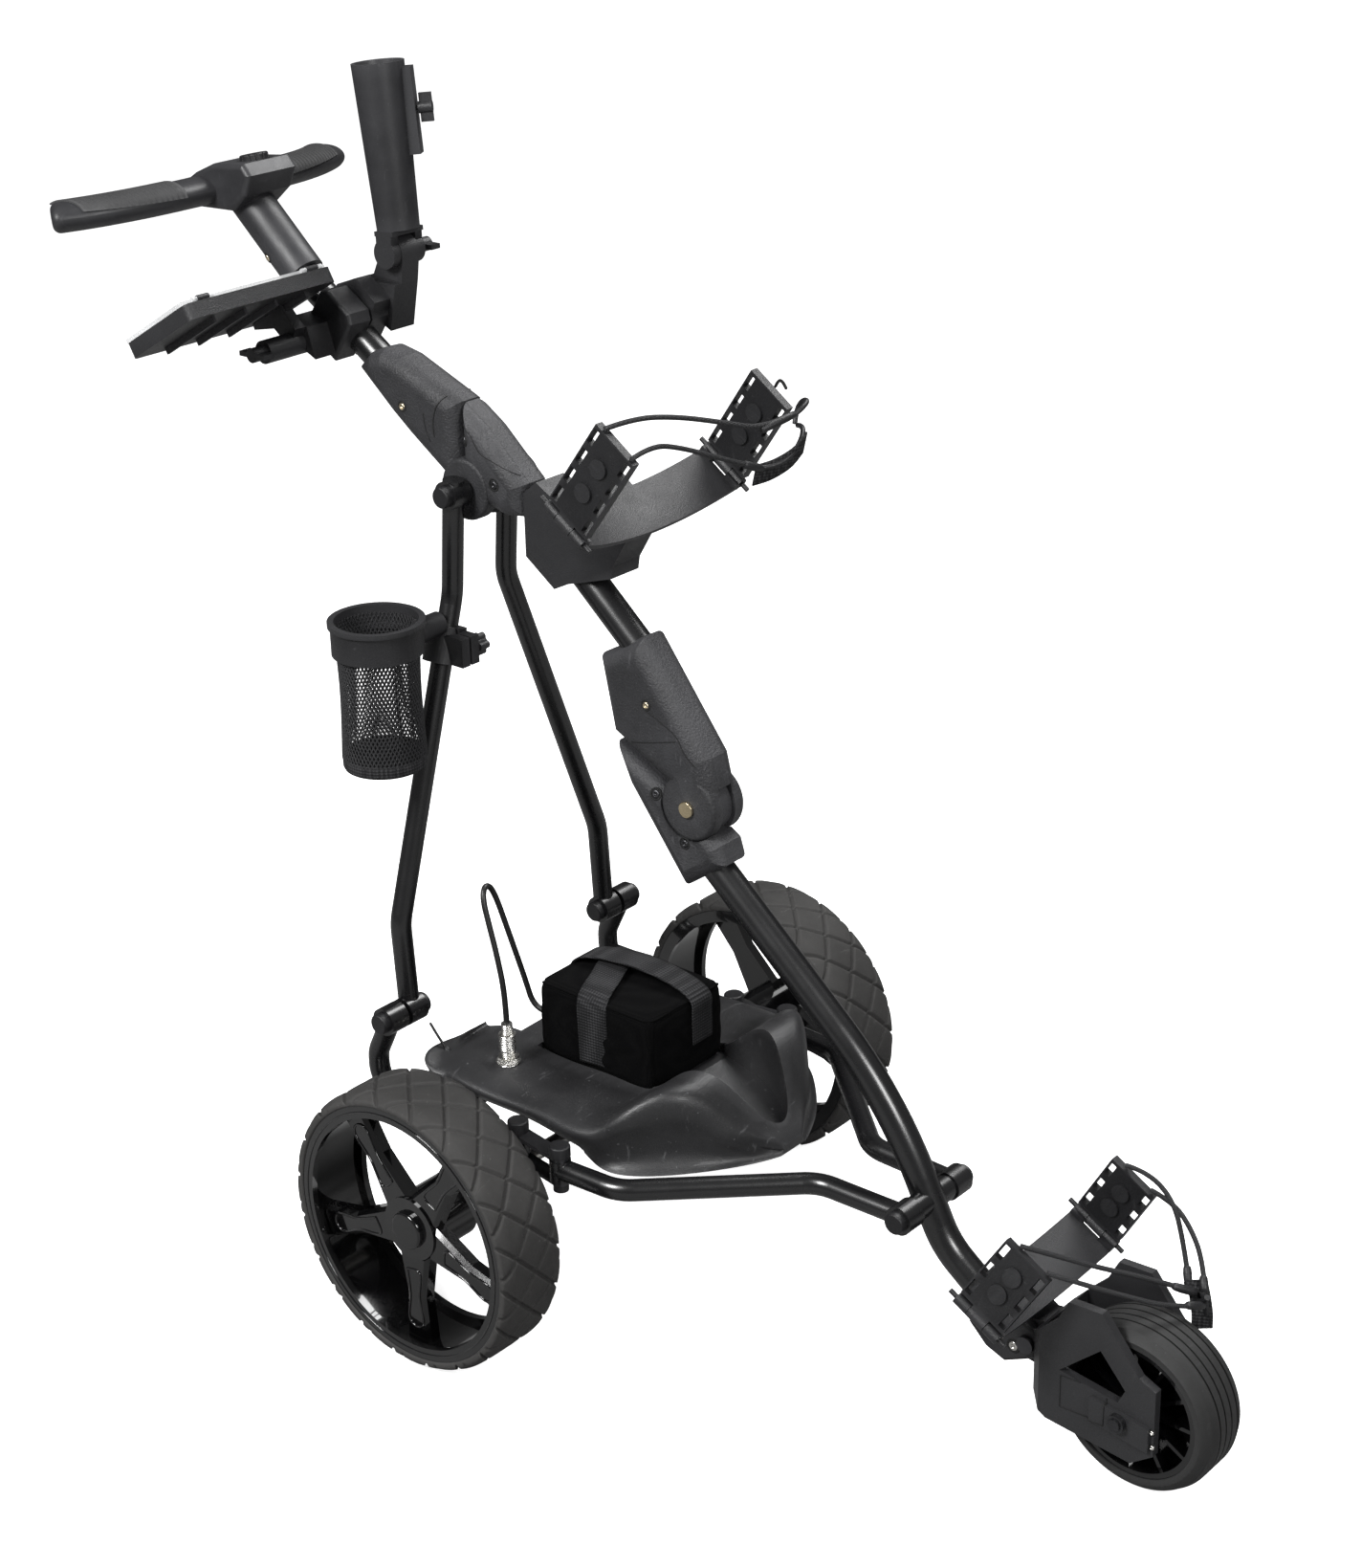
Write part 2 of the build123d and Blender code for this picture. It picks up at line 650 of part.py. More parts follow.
# --- tray and battery -----------------------------------------------------------------------------
def tray_section(x, top_w, low_w, top_z, low_z, inset):
    """Arched cross-section of the tray at one X; inset draws the inside of its wall."""
    top_w, low_w, top_z = top_w - inset, low_w - inset, top_z - inset
    rise = top_z - low_z
    half = [
        (low_w, low_z),
        (top_w * 0.985, low_z + rise * 0.52),
        (top_w, low_z + rise * 0.72),
        (top_w * 0.93, low_z + rise * 0.93),
        (top_w * 0.70, low_z + rise * 0.99),
    ]
    left = [(x, y, z) for y, z in half]
    right = [(x, -y, z) for y, z in reversed(half)]
    curve = Spline(*left, (x, 0, top_z), *right)
    closing = Line(right[-1], left[0])
    return make_face([curve, closing])


def tray_loft(inset):
    drop = 6.0 if inset else 0.0
    faces = []
    for x, top_w, low_w, top_z, low_z in TRAY_SECTIONS:
        if inset and x == TRAY_SECTIONS[0][0]:
            x = x + inset
        if inset and x == TRAY_SECTIONS[-1][0]:
            x = x - inset
        faces.append(tray_section(x, top_w, low_w, top_z, low_z - drop, inset))
    return loft(faces)


def scoop(grow, z_low):
    """Plan of the open front pocket, drawn up as a prism."""
    half = [(SCOOP_BACK_X - 8, 56 + grow), (150, 56 + grow), (178, 52 + grow), (212, 34 + grow), (232, 16 + grow)]
    left = [(x, y) for x, y in half]
    right = [(x, -y) for x, y in reversed(half)]
    tip = (SCOOP_TIP_X + grow, 0)
    curve = Spline(*left, tip, *right)
    face = make_face([curve, Line(right[-1], left[0])])
    return Pos(0, 0, z_low) * extrude(face, amount=200)


def scoop_floor(thick):
    """Sloping floor of the front pocket, as a slab below which nothing is cut."""
    top = [(SCOOP_BACK_X - 20, TRAY_FLOOR_Z), (SCOOP_BACK_X + 4, TRAY_FLOOR_Z), (SCOOP_TIP_X + 30, 196.0)]
    low = [(x, z - thick) for x, z in reversed(top)]
    return slab(top + low, -80, 80)


def above_floor():
    top = [(SCOOP_BACK_X - 20, 400), (SCOOP_TIP_X + 30, 400)]
    low = [(SCOOP_TIP_X + 30, 196.0), (SCOOP_BACK_X + 4, TRAY_FLOOR_Z), (SCOOP_BACK_X - 20, TRAY_FLOOR_Z)]
    return slab(top + low, -80, 80)


def tray():
    outer = tray_loft(0.0)
    shell = outer - tray_loft(TRAY_WALL)
    seat_l, seat_w = BATTERY_L + 2 * GAP + 4, BATTERY_W + 2 * GAP + 4
    seat = block((BATTERY_X, BATTERY_Y, TRAY_FLOOR_Z + 50), (seat_l, seat_w, 100))
    floor_size = (seat_l + 2 * TRAY_WALL, seat_w + 2 * TRAY_WALL, TRAY_WALL + 4)
    floor = block((BATTERY_X, BATTERY_Y, TRAY_FLOOR_Z - TRAY_WALL + floor_size[2] / 2), floor_size)
    pocket_wall = scoop(TRAY_WALL, 190.0) - scoop(0.0, 180.0)
    pocket_floor = scoop(TRAY_WALL, 190.0) & scoop_floor(TRAY_WALL)
    inside = (floor + pocket_wall + pocket_floor) & outer
    body = shell + inside
    body = body - seat - (scoop(0.0, 180.0) & above_floor())
    for side in (1, -1):
        body = body + block((CROSS_X, side * TRAY_FOOT_Y, RAIL_Z + 19), (20, 22, 30))
    body = body - rod((CROSS_X, -200, RAIL_Z), (CROSS_X, 200, RAIL_Z), CROSS_R + GAP)
    body = body - rod((SOCKET_X, SOCKET_Y, 200), (SOCKET_X, SOCKET_Y, 300), SOCKET_R)
    body = body - rod((SOCKET_X, SOCKET_Y, SOCKET_BASE_Z), (SOCKET_X, SOCKET_Y, 300), SOCKET_R + 4)
    return body - block((-130, 0, 240), (110, 100, 60))


def battery_pack():
    size = (BATTERY_L - 2 * BAG_T, BATTERY_W - 2 * BAG_T, BATTERY_H - 2 * BAG_T)
    body = Box(*size)
    body = fillet(body.edges(), 3)
    return Pos(BATTERY_X, BATTERY_Y, TRAY_FLOOR_Z + GAP + BATTERY_H / 2) * body


def battery_bag():
    body = Box(BATTERY_L, BATTERY_W, BATTERY_H)
    body = fillet(body.edges(), 11)
    body = Pos(BATTERY_X, BATTERY_Y, TRAY_FLOOR_Z + GAP + BATTERY_H / 2) * body
    return body - battery_pack()


def power_socket():
    spot = Pos(SOCKET_X, SOCKET_Y, SOCKET_BASE_Z)
    body = Cylinder(SOCKET_R, 30, align=(Align.CENTER, Align.CENTER, Align.MAX))
    body = body + Cylinder(SOCKET_R + 4, 3, align=(Align.CENTER, Align.CENTER, Align.MIN))
    nut = extrude(RegularPolygon(SOCKET_R + 3, 6), amount=5)
    body = body + Pos(0, 0, 3) * nut
    body = body + Pos(0, 0, 8) * Cylinder(SOCKET_R - 1.5, 8, align=(Align.CENTER, Align.CENTER, Align.MIN))
    return spot * body


def battery_plug():
    base = SOCKET_BASE_Z + 16 + GAP
    body = rod((SOCKET_X, SOCKET_Y, base), (SOCKET_X, SOCKET_Y, base + 18), SOCKET_R)
    body = body + rod((SOCKET_X, SOCKET_Y, base + 18), (SOCKET_X, SOCKET_Y, base + 30), SOCKET_R - 3)
    return body - rod((SOCKET_X, SOCKET_Y, base + 22), (SOCKET_X, SOCKET_Y, base + 40), LEAD_R)


def battery_lead():
    """Lead from the plug, up into a tall narrow loop and down to the battery's end."""
    base = SOCKET_BASE_Z + 16 + GAP + 22
    points = [
        (SOCKET_X, SOCKET_Y, base), (SOCKET_X, SOCKET_Y, base + 40), (-53.0, -102.0, 359.0),
        (-65.0, -100.0, 393.0), (-73.0, -98.0, 414.0), (-78.0, -91.0, 425.0), (-80.0, -81.0, 423.0),
        (-77.0, -75.0, 408.0), (-72.0, -70.0, 382.0), (-65.0, -63.0, 345.0), (-60.0, -55.0, 309.0),
        (-58.0, -48.0, 276.0), (BATTERY_X - BATTERY_L / 2, -48.0, 276.0),
    ]
    path = cord_path(points)
    print("battery lead:", round(path.length))
    return sweep_disc(path, LEAD_R)


# --- rear stays and drink holder ------------------------------------------------------------------
def rear_stay(side):
    """Bent strut from the elbow down to the rear knuckle of the axle frame."""
    points = [
        (ELBOW[0] + 1, side * STAY_TOP_Y, ELBOW[1] + STAY_OVER),
        (STAY_BEND_TOP[0], side * STAY_TOP_Y, STAY_BEND_TOP[1]),
        (STAY_BEND_LOW[0], side * STAY_FOOT_Y, STAY_BEND_LOW[1]),
        (FOOT[0] - 1, side * STAY_FOOT_Y, FOOT[1] - STAY_TOE),
    ]
    body = sweep_disc(FilletPolyline(*points, radius=STAY_BEND_R), STAY_R)
    top, foot = side * STAY_TOP_Y, side * STAY_FOOT_Y
    body = body + y_rod(ELBOW, STAY_EYE_R, top - EYE_HALF, top + EYE_HALF)
    body = body + y_rod(FOOT, STAY_EYE_R, foot - EYE_HALF, foot + EYE_HALF)
    body = body - y_rod(ELBOW, BOLT_R, top - 20, top + 20)
    return body - y_rod(FOOT, BOLT_R + RUN_FIT, foot - 20, foot + 20)


def rear_stays():
    return [rear_stay(1), rear_stay(-1)]


def stay_bolt(side):
    """Elbow bolt: tight in the stay, its tip stops just short of the housing."""
    near = side * (HOUSING_HALF_W + GAP)
    far = side * (STAY_TOP_Y + EYE_HALF)
    body = y_rod(ELBOW, BOLT_R, min(near, far), max(near, far))
    return body + cap(ELBOW, far, side)


def stay_point(z):
    """Centre of the right stay's long run at a height."""
    share = (STAY_BEND_TOP[1] - z) / (STAY_BEND_TOP[1] - STAY_BEND_LOW[1])
    x = STAY_BEND_TOP[0] + share * (STAY_BEND_LOW[0] - STAY_BEND_TOP[0])
    y = STAY_TOP_Y + share * (STAY_FOOT_Y - STAY_TOP_Y)
    return (x, -y, z)


def drink_clamp():
    """Two-part ring clamp on the right stay, with the arm that carries the cup ring."""
    low, high = stay_point(DRINK_CLAMP_Z - 18), stay_point(DRINK_CLAMP_Z + 18)
    middle = stay_point(DRINK_CLAMP_Z)
    body = rod(low, high, STAY_R + 9)
    body = body + block((middle[0] + 20, middle[1], DRINK_CLAMP_Z), (34, 24, 30))
    body = body + y_rod((DRINK_ARM_X, DRINK_ARM_Z), 13, DRINK_ARM_Y, middle[1] - 8)
    body = body - rod(stay_point(DRINK_CLAMP_Z - 60), stay_point(DRINK_CLAMP_Z + 30), STAY_R)
    slot = block((middle[0] + 26, middle[1], DRINK_CLAMP_Z), (60, 2.5, 60))
    bore = rod((middle[0] + 27, middle[1] - 20, DRINK_CLAMP_Z), (middle[0] + 27, middle[1] + 20, DRINK_CLAMP_Z), 3)
    pin_hole = y_rod((DRINK_ARM_X, DRINK_ARM_Z), 4, DRINK_ARM_Y - 1, DRINK_ARM_Y + 9)
    return body - slot - bore - pin_hole


def drink_knob():
    """Clamp screw with a star knob on the outer end."""
    middle = stay_point(DRINK_CLAMP_Z)
    x, y, z = middle[0] + 27, middle[1], DRINK_CLAMP_Z
    body = rod((x, y - 12, z), (x, y + 12, z), 3)
    body = body + rod((x, y + 12, z), (x, y + 26, z), 9)
    for index in range(5):
        angle = math.radians(index * 72)
        spot = (x + 8 * math.cos(angle), z + 8 * math.sin(angle))
        body = body + y_rod(spot, 4, y + 14, y + 26)
    return body


def drink_ring():
    """Open band that holds the cup net, on a pin that turns in the clamp arm."""
    x, y = DRINK_CENTRE
    top = DRINK_Z + DRINK_RING_H / 2
    low = DRINK_Z - DRINK_RING_H / 2
    body = rod((x, y, low), (x, y, top), DRINK_R)
    body = body + rod((x, y, top - 5), (x, y, top), DRINK_R + 2.5)
    pad_near = DRINK_ARM_Y - GAP
    body = body + y_rod((DRINK_ARM_X, DRINK_ARM_Z), 12, y + DRINK_R - 14, pad_near)
    body = body - rod((x, y, low - 60), (x, y, top + 30), DRINK_R - DRINK_RING_T)
    return body + y_rod((DRINK_ARM_X, DRINK_ARM_Z), 4 - RUN_FIT, pad_near - 2, DRINK_ARM_Y + 8.5)


def drink_net():
    """Soft cup hung inside the ring: a thin wall and a closed bottom."""
    x, y = DRINK_CENTRE
    top = DRINK_Z + DRINK_RING_H / 2 - 6
    low = DRINK_Z + DRINK_RING_H / 2 - DRINK_DEPTH
    outer = DRINK_R - DRINK_RING_T
    body = rod((x, y, low), (x, y, top), outer)
    return body - rod((x, y, low + DRINK_NET_T), (x, y, top + 5), outer - DRINK_NET_T)


# --- lower main tube, knee and fork ------------------------------------------------------------------
def lower_tube():
    points = [at(LOWER_TUBE_TOP), at(LOWER_TUBE_BEND), at(LOWER_TUBE_FOOT), at(LOWER_TUBE_END)]
    path = FilletPolyline(*points, radius=[MAIN_BEND_R, MAIN_FOOT_BEND_R])
    body = sweep_disc(path, MAIN_TUBE_R)
    inner = sweep_disc(path, MAIN_TUBE_R - TUBE_WALL)
    collar = FRONT_EYE_Y - EYE_HALF - GAP
    body = body - inner - y_rod(KNEE, KNEE_BOSS_R + 1, -30, 30)
    body = body + (y_rod(FRONT_PIVOT, 13, -collar, collar))
    return body - y_rod(FRONT_PIVOT, BOLT_R + RUN_FIT, -60, 60)


def tube_space(start, end, radius):
    return rod(at(start), at(end), radius)


def rounded_slab(outline, half_w, round_r):
    """Symmetric slab with its long side edges rounded."""
    body = slab(outline, -half_w, half_w)
    low = body.edges().group_by(Axis.Y)[0]
    high = body.edges().group_by(Axis.Y)[-1]
    for share in (1.0, 0.8, 0.6, 0.4):
        try:
            return fillet(low + high, round_r * share)
        except (ValueError, RuntimeError):
            print("smaller edge rounding:", round(round_r * share, 1))
    return body


def knee_base_shells():
    """Lower half of the knee: outer body cut round the boss, and the middle tongue."""
    outline = [(44, 594), (62, 554), (132, 461), (182, 496), (176, 516), (150, 532), (108, 560)]
    body = rounded_slab(outline, HOUSING_HALF_W, HOUSING_ROUND)
    body = body - y_rod(KNEE, KNEE_BOSS_R + 0.5, -40, 40)
    tongue = slab(outline, -TONGUE_HALF_W, TONGUE_HALF_W) + y_rod(KNEE, KNEE_BOSS_R - 4, -TONGUE_HALF_W, TONGUE_HALF_W)
    body = body + tongue
    body = body - tube_space(LOWER_TUBE_TOP, LOWER_TUBE_BEND, MAIN_TUBE_R)
    body = body + y_rod(KNEE, KNEE_BOSS_R - 4, -TONGUE_HALF_W, TONGUE_HALF_W)
    return body - y_rod(KNEE, PIN_R, -40, 40)


def knee_top_shells():
    """Upper half of the knee: two cheeks with round bosses either side of the tongue."""
    outline = [(25, 682), (41, 604), (112, 567), (141, 549), (172, 562), (162, 604), (81, 712)]
    body = rounded_slab(outline, HOUSING_HALF_W, HOUSING_ROUND)
    boss = y_rod(KNEE, KNEE_BOSS_R, -HOUSING_HALF_W, HOUSING_HALF_W)
    rims = boss.edges().group_by(Axis.Y)
    body = body + fillet(rims[0] + rims[-1], 4)
    body = body - y_rod(KNEE, KNEE_BOSS_R + 3, -TONGUE_HALF_W - 0.8, TONGUE_HALF_W + 0.8)
    body = body - y_rod(KNEE, PIN_R + RUN_FIT, -40, 40)
    return body - tube_space(MID_TUBE_TOP, MID_TUBE_END, MAIN_TUBE_R)


def fold_pin():
    """Knee pin with a low round head on each side."""
    body = y_rod(KNEE, PIN_R, -HOUSING_HALF_W - GAP, HOUSING_HALF_W + GAP)
    for side in (1, -1):
        near, far = side * (HOUSING_HALF_W + GAP), side * (HOUSING_HALF_W + 3.5)
        head = y_rod(KNEE, 8.5, min(near, far), max(near, far))
        outer = head.edges().group_by(Axis.Y)[-1 if side > 0 else 0]
        body = body + fillet(outer, 1)
    return body


def front_fork():
    """One moulding: a plate on each side of the wheel, tied behind it by a bridge."""
    outline = [
        (566, 66), (590, 52), (684, 44), (708, 62), (708, 132), (690, 140),
        (648, 192), (612, 190), (600, 166), (566, 132),
    ]
    window = [(604, 112), (648, 152), (676, 120), (668, 104)]
    body = slab(outline, -FORK_INNER_Y - FORK_T, FORK_INNER_Y + FORK_T)
    inner = [(FORK_GAP_X, 20), (740, 20), (740, 220), (FORK_GAP_X, 220)]
    body = body - slab(inner, -FORK_INNER_Y, FORK_INNER_Y)
    body = body - slab(window, -80, 80)
    body = body - y_rod((FRONT_AXLE_X, FRONT_WHEEL_R), FRONT_WHEEL_R + 2, -FRONT_CLEAR_Y, FRONT_CLEAR_Y)
    lug = slab([(546, 84), (546, 130), (572, 134), (572, 80)], -16, 16)
    for side in (1, -1):
        turn = Pos(566, side * (FORK_INNER_Y + FORK_T), 110) * Rot(0, 0, -side * 45)
        body = body - turn * Box(22, 80, 200)
    body = body + lug
    body = body - y_rod((FRONT_AXLE_X, FRONT_WHEEL_R), FRONT_AXLE_R, -80, 80)
    return body - y_rod(FORK_BOLT, BOLT_R, -40, 40)


def fork_bracket():
    """Forked clamp on the foot of the main tube that holds the fork's lug."""
    outline = [(494, 130), (540, 136), (564, 122), (564, 94), (528, 76), (506, 84), (486, 104)]
    body = rounded_slab(outline, BRACKET_HALF_W, 4)
    body = body - slab([(543, 60), (600, 60), (600, 160), (543, 160)], -16 - GAP, 16 + GAP)
    body = body - tube_space(LOWER_TUBE_FOOT, LOWER_TUBE_END, MAIN_TUBE_R)
    return body - y_rod(FORK_BOLT, BOLT_R, -40, 40)


def fork_bolt():
    reach = BRACKET_HALF_W
    body = y_rod(FORK_BOLT, BOLT_R, -reach, reach)
    return body + y_rod(FORK_BOLT, 9, reach, reach + 5) + y_rod(FORK_BOLT, 9, -reach - 5, -reach)


def tracking_plate(side):
    """Flat axle plate screwed to the outside of the fork."""
    near = side * (FORK_INNER_Y + FORK_T)
    far = near + side * 4
    outline = [(640, 74), (640, 100), (704, 92), (704, 66)]
    body = slab(outline, min(near, far), max(near, far))
    return body - y_rod((FRONT_AXLE_X, FRONT_WHEEL_R), FRONT_AXLE_R, -80, 80)


def front_axle():
    reach = FORK_INNER_Y + FORK_T + 4
    centre = (FRONT_AXLE_X, FRONT_WHEEL_R)
    body = y_rod(centre, FRONT_AXLE_R, -reach - 8, reach + 8)
    return body + y_rod(centre, 9, reach, reach + 6) + y_rod(centre, 9, -reach - 6, -reach)


# --- bag cradles ----------------------------------------------------------------------------------
def cradle_end(rise, angle):
    """(Y, Z) of the pad hinge at the end of the curved saddle, in the cradle's own frame."""
    angle = math.radians(angle)
    return (SADDLE_R * math.sin(angle) + 5.0, rise + SADDLE_R * (1 - math.cos(angle)) + 3.0)


def saddle_strip(rise, angle):
    """Curved strip the bag lies on, with raised long edges and its two hinge ears."""
    centre = rise + SADDLE_R
    outer = rod((-PAD_W / 2, 0, centre), (PAD_W / 2, 0, centre), SADDLE_R + SADDLE_T)
    inner = rod((-PAD_W / 2 - 1, 0, centre), (PAD_W / 2 + 1, 0, centre), SADDLE_R)
    edge_outer = outer - rod((-PAD_W / 2 - 1, 0, centre), (PAD_W / 2 + 1, 0, centre), SADDLE_R - 4)
    strip = outer - inner
    rails = edge_outer & (block((-PAD_W / 2 + 3, 0, centre), (6, 400, 400)) + block((PAD_W / 2 - 3, 0, centre), (6, 400, 400)))
    y_end, z_end = cradle_end(rise, angle)
    low = block((0, 0, z_end - 2 - 200), (PAD_W, 2 * y_end, 400))
    body = (strip + rails) & low
    for side in (1, -1):
        for t in (-PAD_W / 2 + 8, PAD_W / 2 - 8):
            ear = rod((t - 8, side * y_end, z_end), (t + 8, side * y_end, z_end), 6)
            web = block((t, side * (y_end - 5), z_end - 3), (16, 8, 10))
            body = body + ear + web
        knuckle = rod((-PAD_W / 2 + 16, side * y_end, z_end), (PAD_W / 2 - 16, side * y_end, z_end), 7.5)
        body = body - knuckle
        body = body + rod((-PAD_W / 2 - 9, side * y_end, z_end), (PAD_W / 2 + 9, side * y_end, z_end), PAD_PIN_R)
    return body


def pad(rise, angle, height, lean, side):
    """Hinged bag pad: a ribbed plate with square windows and two round bosses."""
    y_end, z_end = cradle_end(rise, angle)
    half = PAD_W / 2
    body = block((0, 0, 9 + height / 2), (PAD_W, PAD_T, height))
    windows = max(2, round(height / 26))
    for index in range(windows):
        z = 9 + height * (index + 0.5) / windows
        for t in (-half + 5, half - 5):
            body = body - block((t, 0, z), (7, 20, height / windows - 8))
    for z in (9 + height * 0.36, 9 + height * 0.68):
        body = body + y_rod((0, z), 9.5, -PAD_T / 2 - 2.5, PAD_T / 2 + 2.5)
        body = body - y_rod((0, z), 4.0, -PAD_T / 2 + 1.5, PAD_T / 2 + 5)
    body = body + block((0, 0, 8), (PAD_W - 33.2, 7, 14))
    body = body + rod((-PAD_W / 2 + 16.6, 0, 0), (PAD_W / 2 - 16.6, 0, 0), 6)
    body = body - rod((-PAD_W, 0, 0), (PAD_W, 0, 0), PAD_PIN_R + RUN_FIT)
    return Pos(0, side * y_end, z_end) * Rot(side * lean, 0, 0) * body


def upper_saddle():
    rise = UPPER_CRADLE_RISE
    strip = saddle_strip(rise, UPPER_SADDLE_ANGLE)
    outline = [
        (-93, 20), (-84, 54), (-30, 60), (-22, rise), (30, rise), (34, 58),
        (40, 46), (4, -2), (-6, -21), (-66, -21), (-78, -4),
    ]
    neck = slab(outline, -20, 20) - rod((-60, 0, rise + SADDLE_R), (60, 0, rise + SADDLE_R), SADDLE_R + 1)
    body = tilted(UPPER_CRADLE, UPPER_CRADLE_TILT, Pos(CRADLE_SHIFT, 0, 0) * strip + neck)
    body = body - slab([(-140, 760), (ELBOW_FRONT_X + 1, 760), (ELBOW_FRONT_X + 1, 900), (-140, 900)], -60, 60)
    return body - tube_space(MID_TUBE_TOP, MID_TUBE_END, MAIN_TUBE_R)


def lower_saddle():
    rise = LOWER_CRADLE_RISE
    strip = saddle_strip(rise, LOWER_SADDLE_ANGLE)
    outline = [(-30, 14), (-27, rise), (27, rise), (30, 16), (20, 0), (-24, 0)]
    neck = slab(outline, -22, 22) - rod((-60, 0, rise + SADDLE_R), (60, 0, rise + SADDLE_R), SADDLE_R + 1)
    body = tilted(LOWER_CRADLE, LOWER_CRADLE_TILT, Pos(LOWER_SHIFT, 0, 0) * strip + neck)
    body = body - tube_space(LOWER_TUBE_FOOT, LOWER_TUBE_END, MAIN_TUBE_R)
    return body - fork_bracket_space()


def fork_bracket_space():
    outline = [(486, 139), (540, 139), (570, 122), (570, 80), (520, 70), (480, 100)]
    return slab(outline, -BRACKET_HALF_W - 0.1, BRACKET_HALF_W + 0.1)


def cord_path(points):
    """Straight runs joined by arcs, each as large as the shorter run beside it allows."""
    spots = [Vector(*point) for point in points]
    radii = []
    for before, here, after in zip(spots, spots[1:], spots[2:]):
        run_in, run_out = here - before, after - here
        turn = math.radians(run_in.get_angle(run_out))
        shorter = min(run_in.length, run_out.length)
        radii.append(min(0.45 * shorter / math.tan(turn / 2), CORD_BEND_MAX))
    print("cord radii:", [round(radius, 1) for radius in radii])
    return FilletPolyline(*points, radius=radii)


def elastic_cords(routes):
    cords = [sweep_disc(cord_path(route), CORD_R) for route in routes]
    print("cord lengths:", [round(cord_path(route).length) for route in routes])
    return cords


def cradle_pads(origin, tilt, shift, rise, angle, height, lean, name):
    nodes = {}
    for side, word, tip in ((1, "left", lean[0]), (-1, "right", lean[1])):
        piece = Pos(shift, 0, 0) * pad(rise, angle, height, tip, side)
        nodes[name + "_" + word] = tilted(origin, tilt, piece)
    return nodes


# --- upper frame ----------------------------------------------------------------------------------
def mid_tube():
    body = tube_space(MID_TUBE_TOP, MID_TUBE_END, MAIN_TUBE_R)
    return body - tube_space(MID_TUBE_TOP, MID_TUBE_END, MAIN_TUBE_R - TUBE_WALL)


def elbow_shells():
    """Front half of the elbow: outer body cut round the boss, with a tongue and its moulded pin."""
    outline = [
        (-150, 906), (-120, 886), (ELBOW_FRONT_X, 838), (ELBOW_FRONT_X, 803),
        (-96, 799), (-124, 808), (-150, 850),
    ]
    body = rounded_slab(outline, HOUSING_HALF_W, HOUSING_ROUND)
    body = body - y_rod(ELBOW, ELBOW_BOSS_R + 0.5, -40, 40)
    body = body - slab([(-190, 760), (-151, 760), (-151, 940), (-190, 940)], -40, 40)
    tongue = slab(outline, -TONGUE_HALF_W, TONGUE_HALF_W) + y_rod(ELBOW, ELBOW_BOSS_R - 4, -TONGUE_HALF_W, TONGUE_HALF_W)
    body = body + tongue
    body = body - tube_space(MID_TUBE_TOP, MID_TUBE_END, MAIN_TUBE_R)
    return body + y_rod(ELBOW, 6, -HOUSING_HALF_W + 2, HOUSING_HALF_W - 2)


def elbow_sleeve_shells():
    """Rear half of the elbow: sleeve on the handle tube with two cheeks round the tongue."""
    outline = [
        (-295, 921), (-277, 939), (-258, 945), (-233, 940), (-152, 907), (-152, 850), (-144, 820),
        (-178, 829), (-222, 860), (-248, 880), (-278, 906),
    ]
    body = rounded_slab(outline, HOUSING_HALF_W, HOUSING_ROUND)
    boss = y_rod(ELBOW, ELBOW_BOSS_R, -HOUSING_HALF_W, HOUSING_HALF_W)
    rims = boss.edges().group_by(Axis.Y)
    body = body + fillet(rims[0] + rims[-1], 4)
    body = body - y_rod(ELBOW, ELBOW_BOSS_R + 3, -TONGUE_HALF_W - 0.8, TONGUE_HALF_W + 0.8)
    body = body - y_rod(ELBOW, 6 + RUN_FIT, -HOUSING_HALF_W + 1.5, HOUSING_HALF_W - 1.5)
    return body - tube_space(HANDLE_TUBE_END, HANDLE_TUBE_TOP, MAIN_TUBE_R)


# --- handle ---------------------------------------------------------------------------------------
def handle_tube():
    body = tube_space(HANDLE_TUBE_END, HANDLE_TUBE_TOP, MAIN_TUBE_R)
    return body - tube_space(HANDLE_TUBE_END, HANDLE_TUBE_TOP, MAIN_TUBE_R - TUBE_WALL)


def bar_path(reach):
    ends = [(TEE_TIP_X, -reach, TEE_TIP_Z), (TEE_X - 22, -reach * 0.45, TEE_Z - 2), (TEE_X - 14, 0, TEE_Z)]
    back = [(TEE_X - 22, reach * 0.45, TEE_Z - 2), (TEE_TIP_X, reach, TEE_TIP_Z)]
    return Spline(*ends, *back)


def bar(reach, half_x, half_z):
    """Flattened bar along the handle's width."""
    path = bar_path(reach)
    plane = Plane(origin=path @ 0, x_dir=(1, 0, 0.12), z_dir=path % 0)
    return sweep(plane * Ellipse(half_x, half_z), path=path)


def tee_handle():
    body = bar(TEE_HALF_W, BAR_HALF_X, BAR_HALF_Z)
    console = [(-522, 1086), (-506, 1096), (-478, 1108), (-430, 1113), (-420, 1102), (-430, 1080), (-452, 1062), (-506, 1060)]
    body = body + rounded_slab(console, 34, 6)
    body = body + rod(at(NECK_LOW), at(NECK_HIGH), NECK_R)
    body = body - tube_space(HANDLE_TUBE_END, HANDLE_TUBE_TOP, MAIN_TUBE_R) - dial_space()
    tips = [face for face in body.faces() if abs(face.center().Y) > TEE_HALF_W - 4]
    return fillet([edge for tip in tips for edge in tip.edges()], BAR_TIP_ROUND)


def dial_axis():
    return Pos(DIAL_AT[0], 0, DIAL_AT[1]) * Rot(0, -12, 0)


def dial_space():
    return dial_axis() * Cylinder(15.5, 12, align=(Align.CENTER, Align.CENTER, Align.MIN))


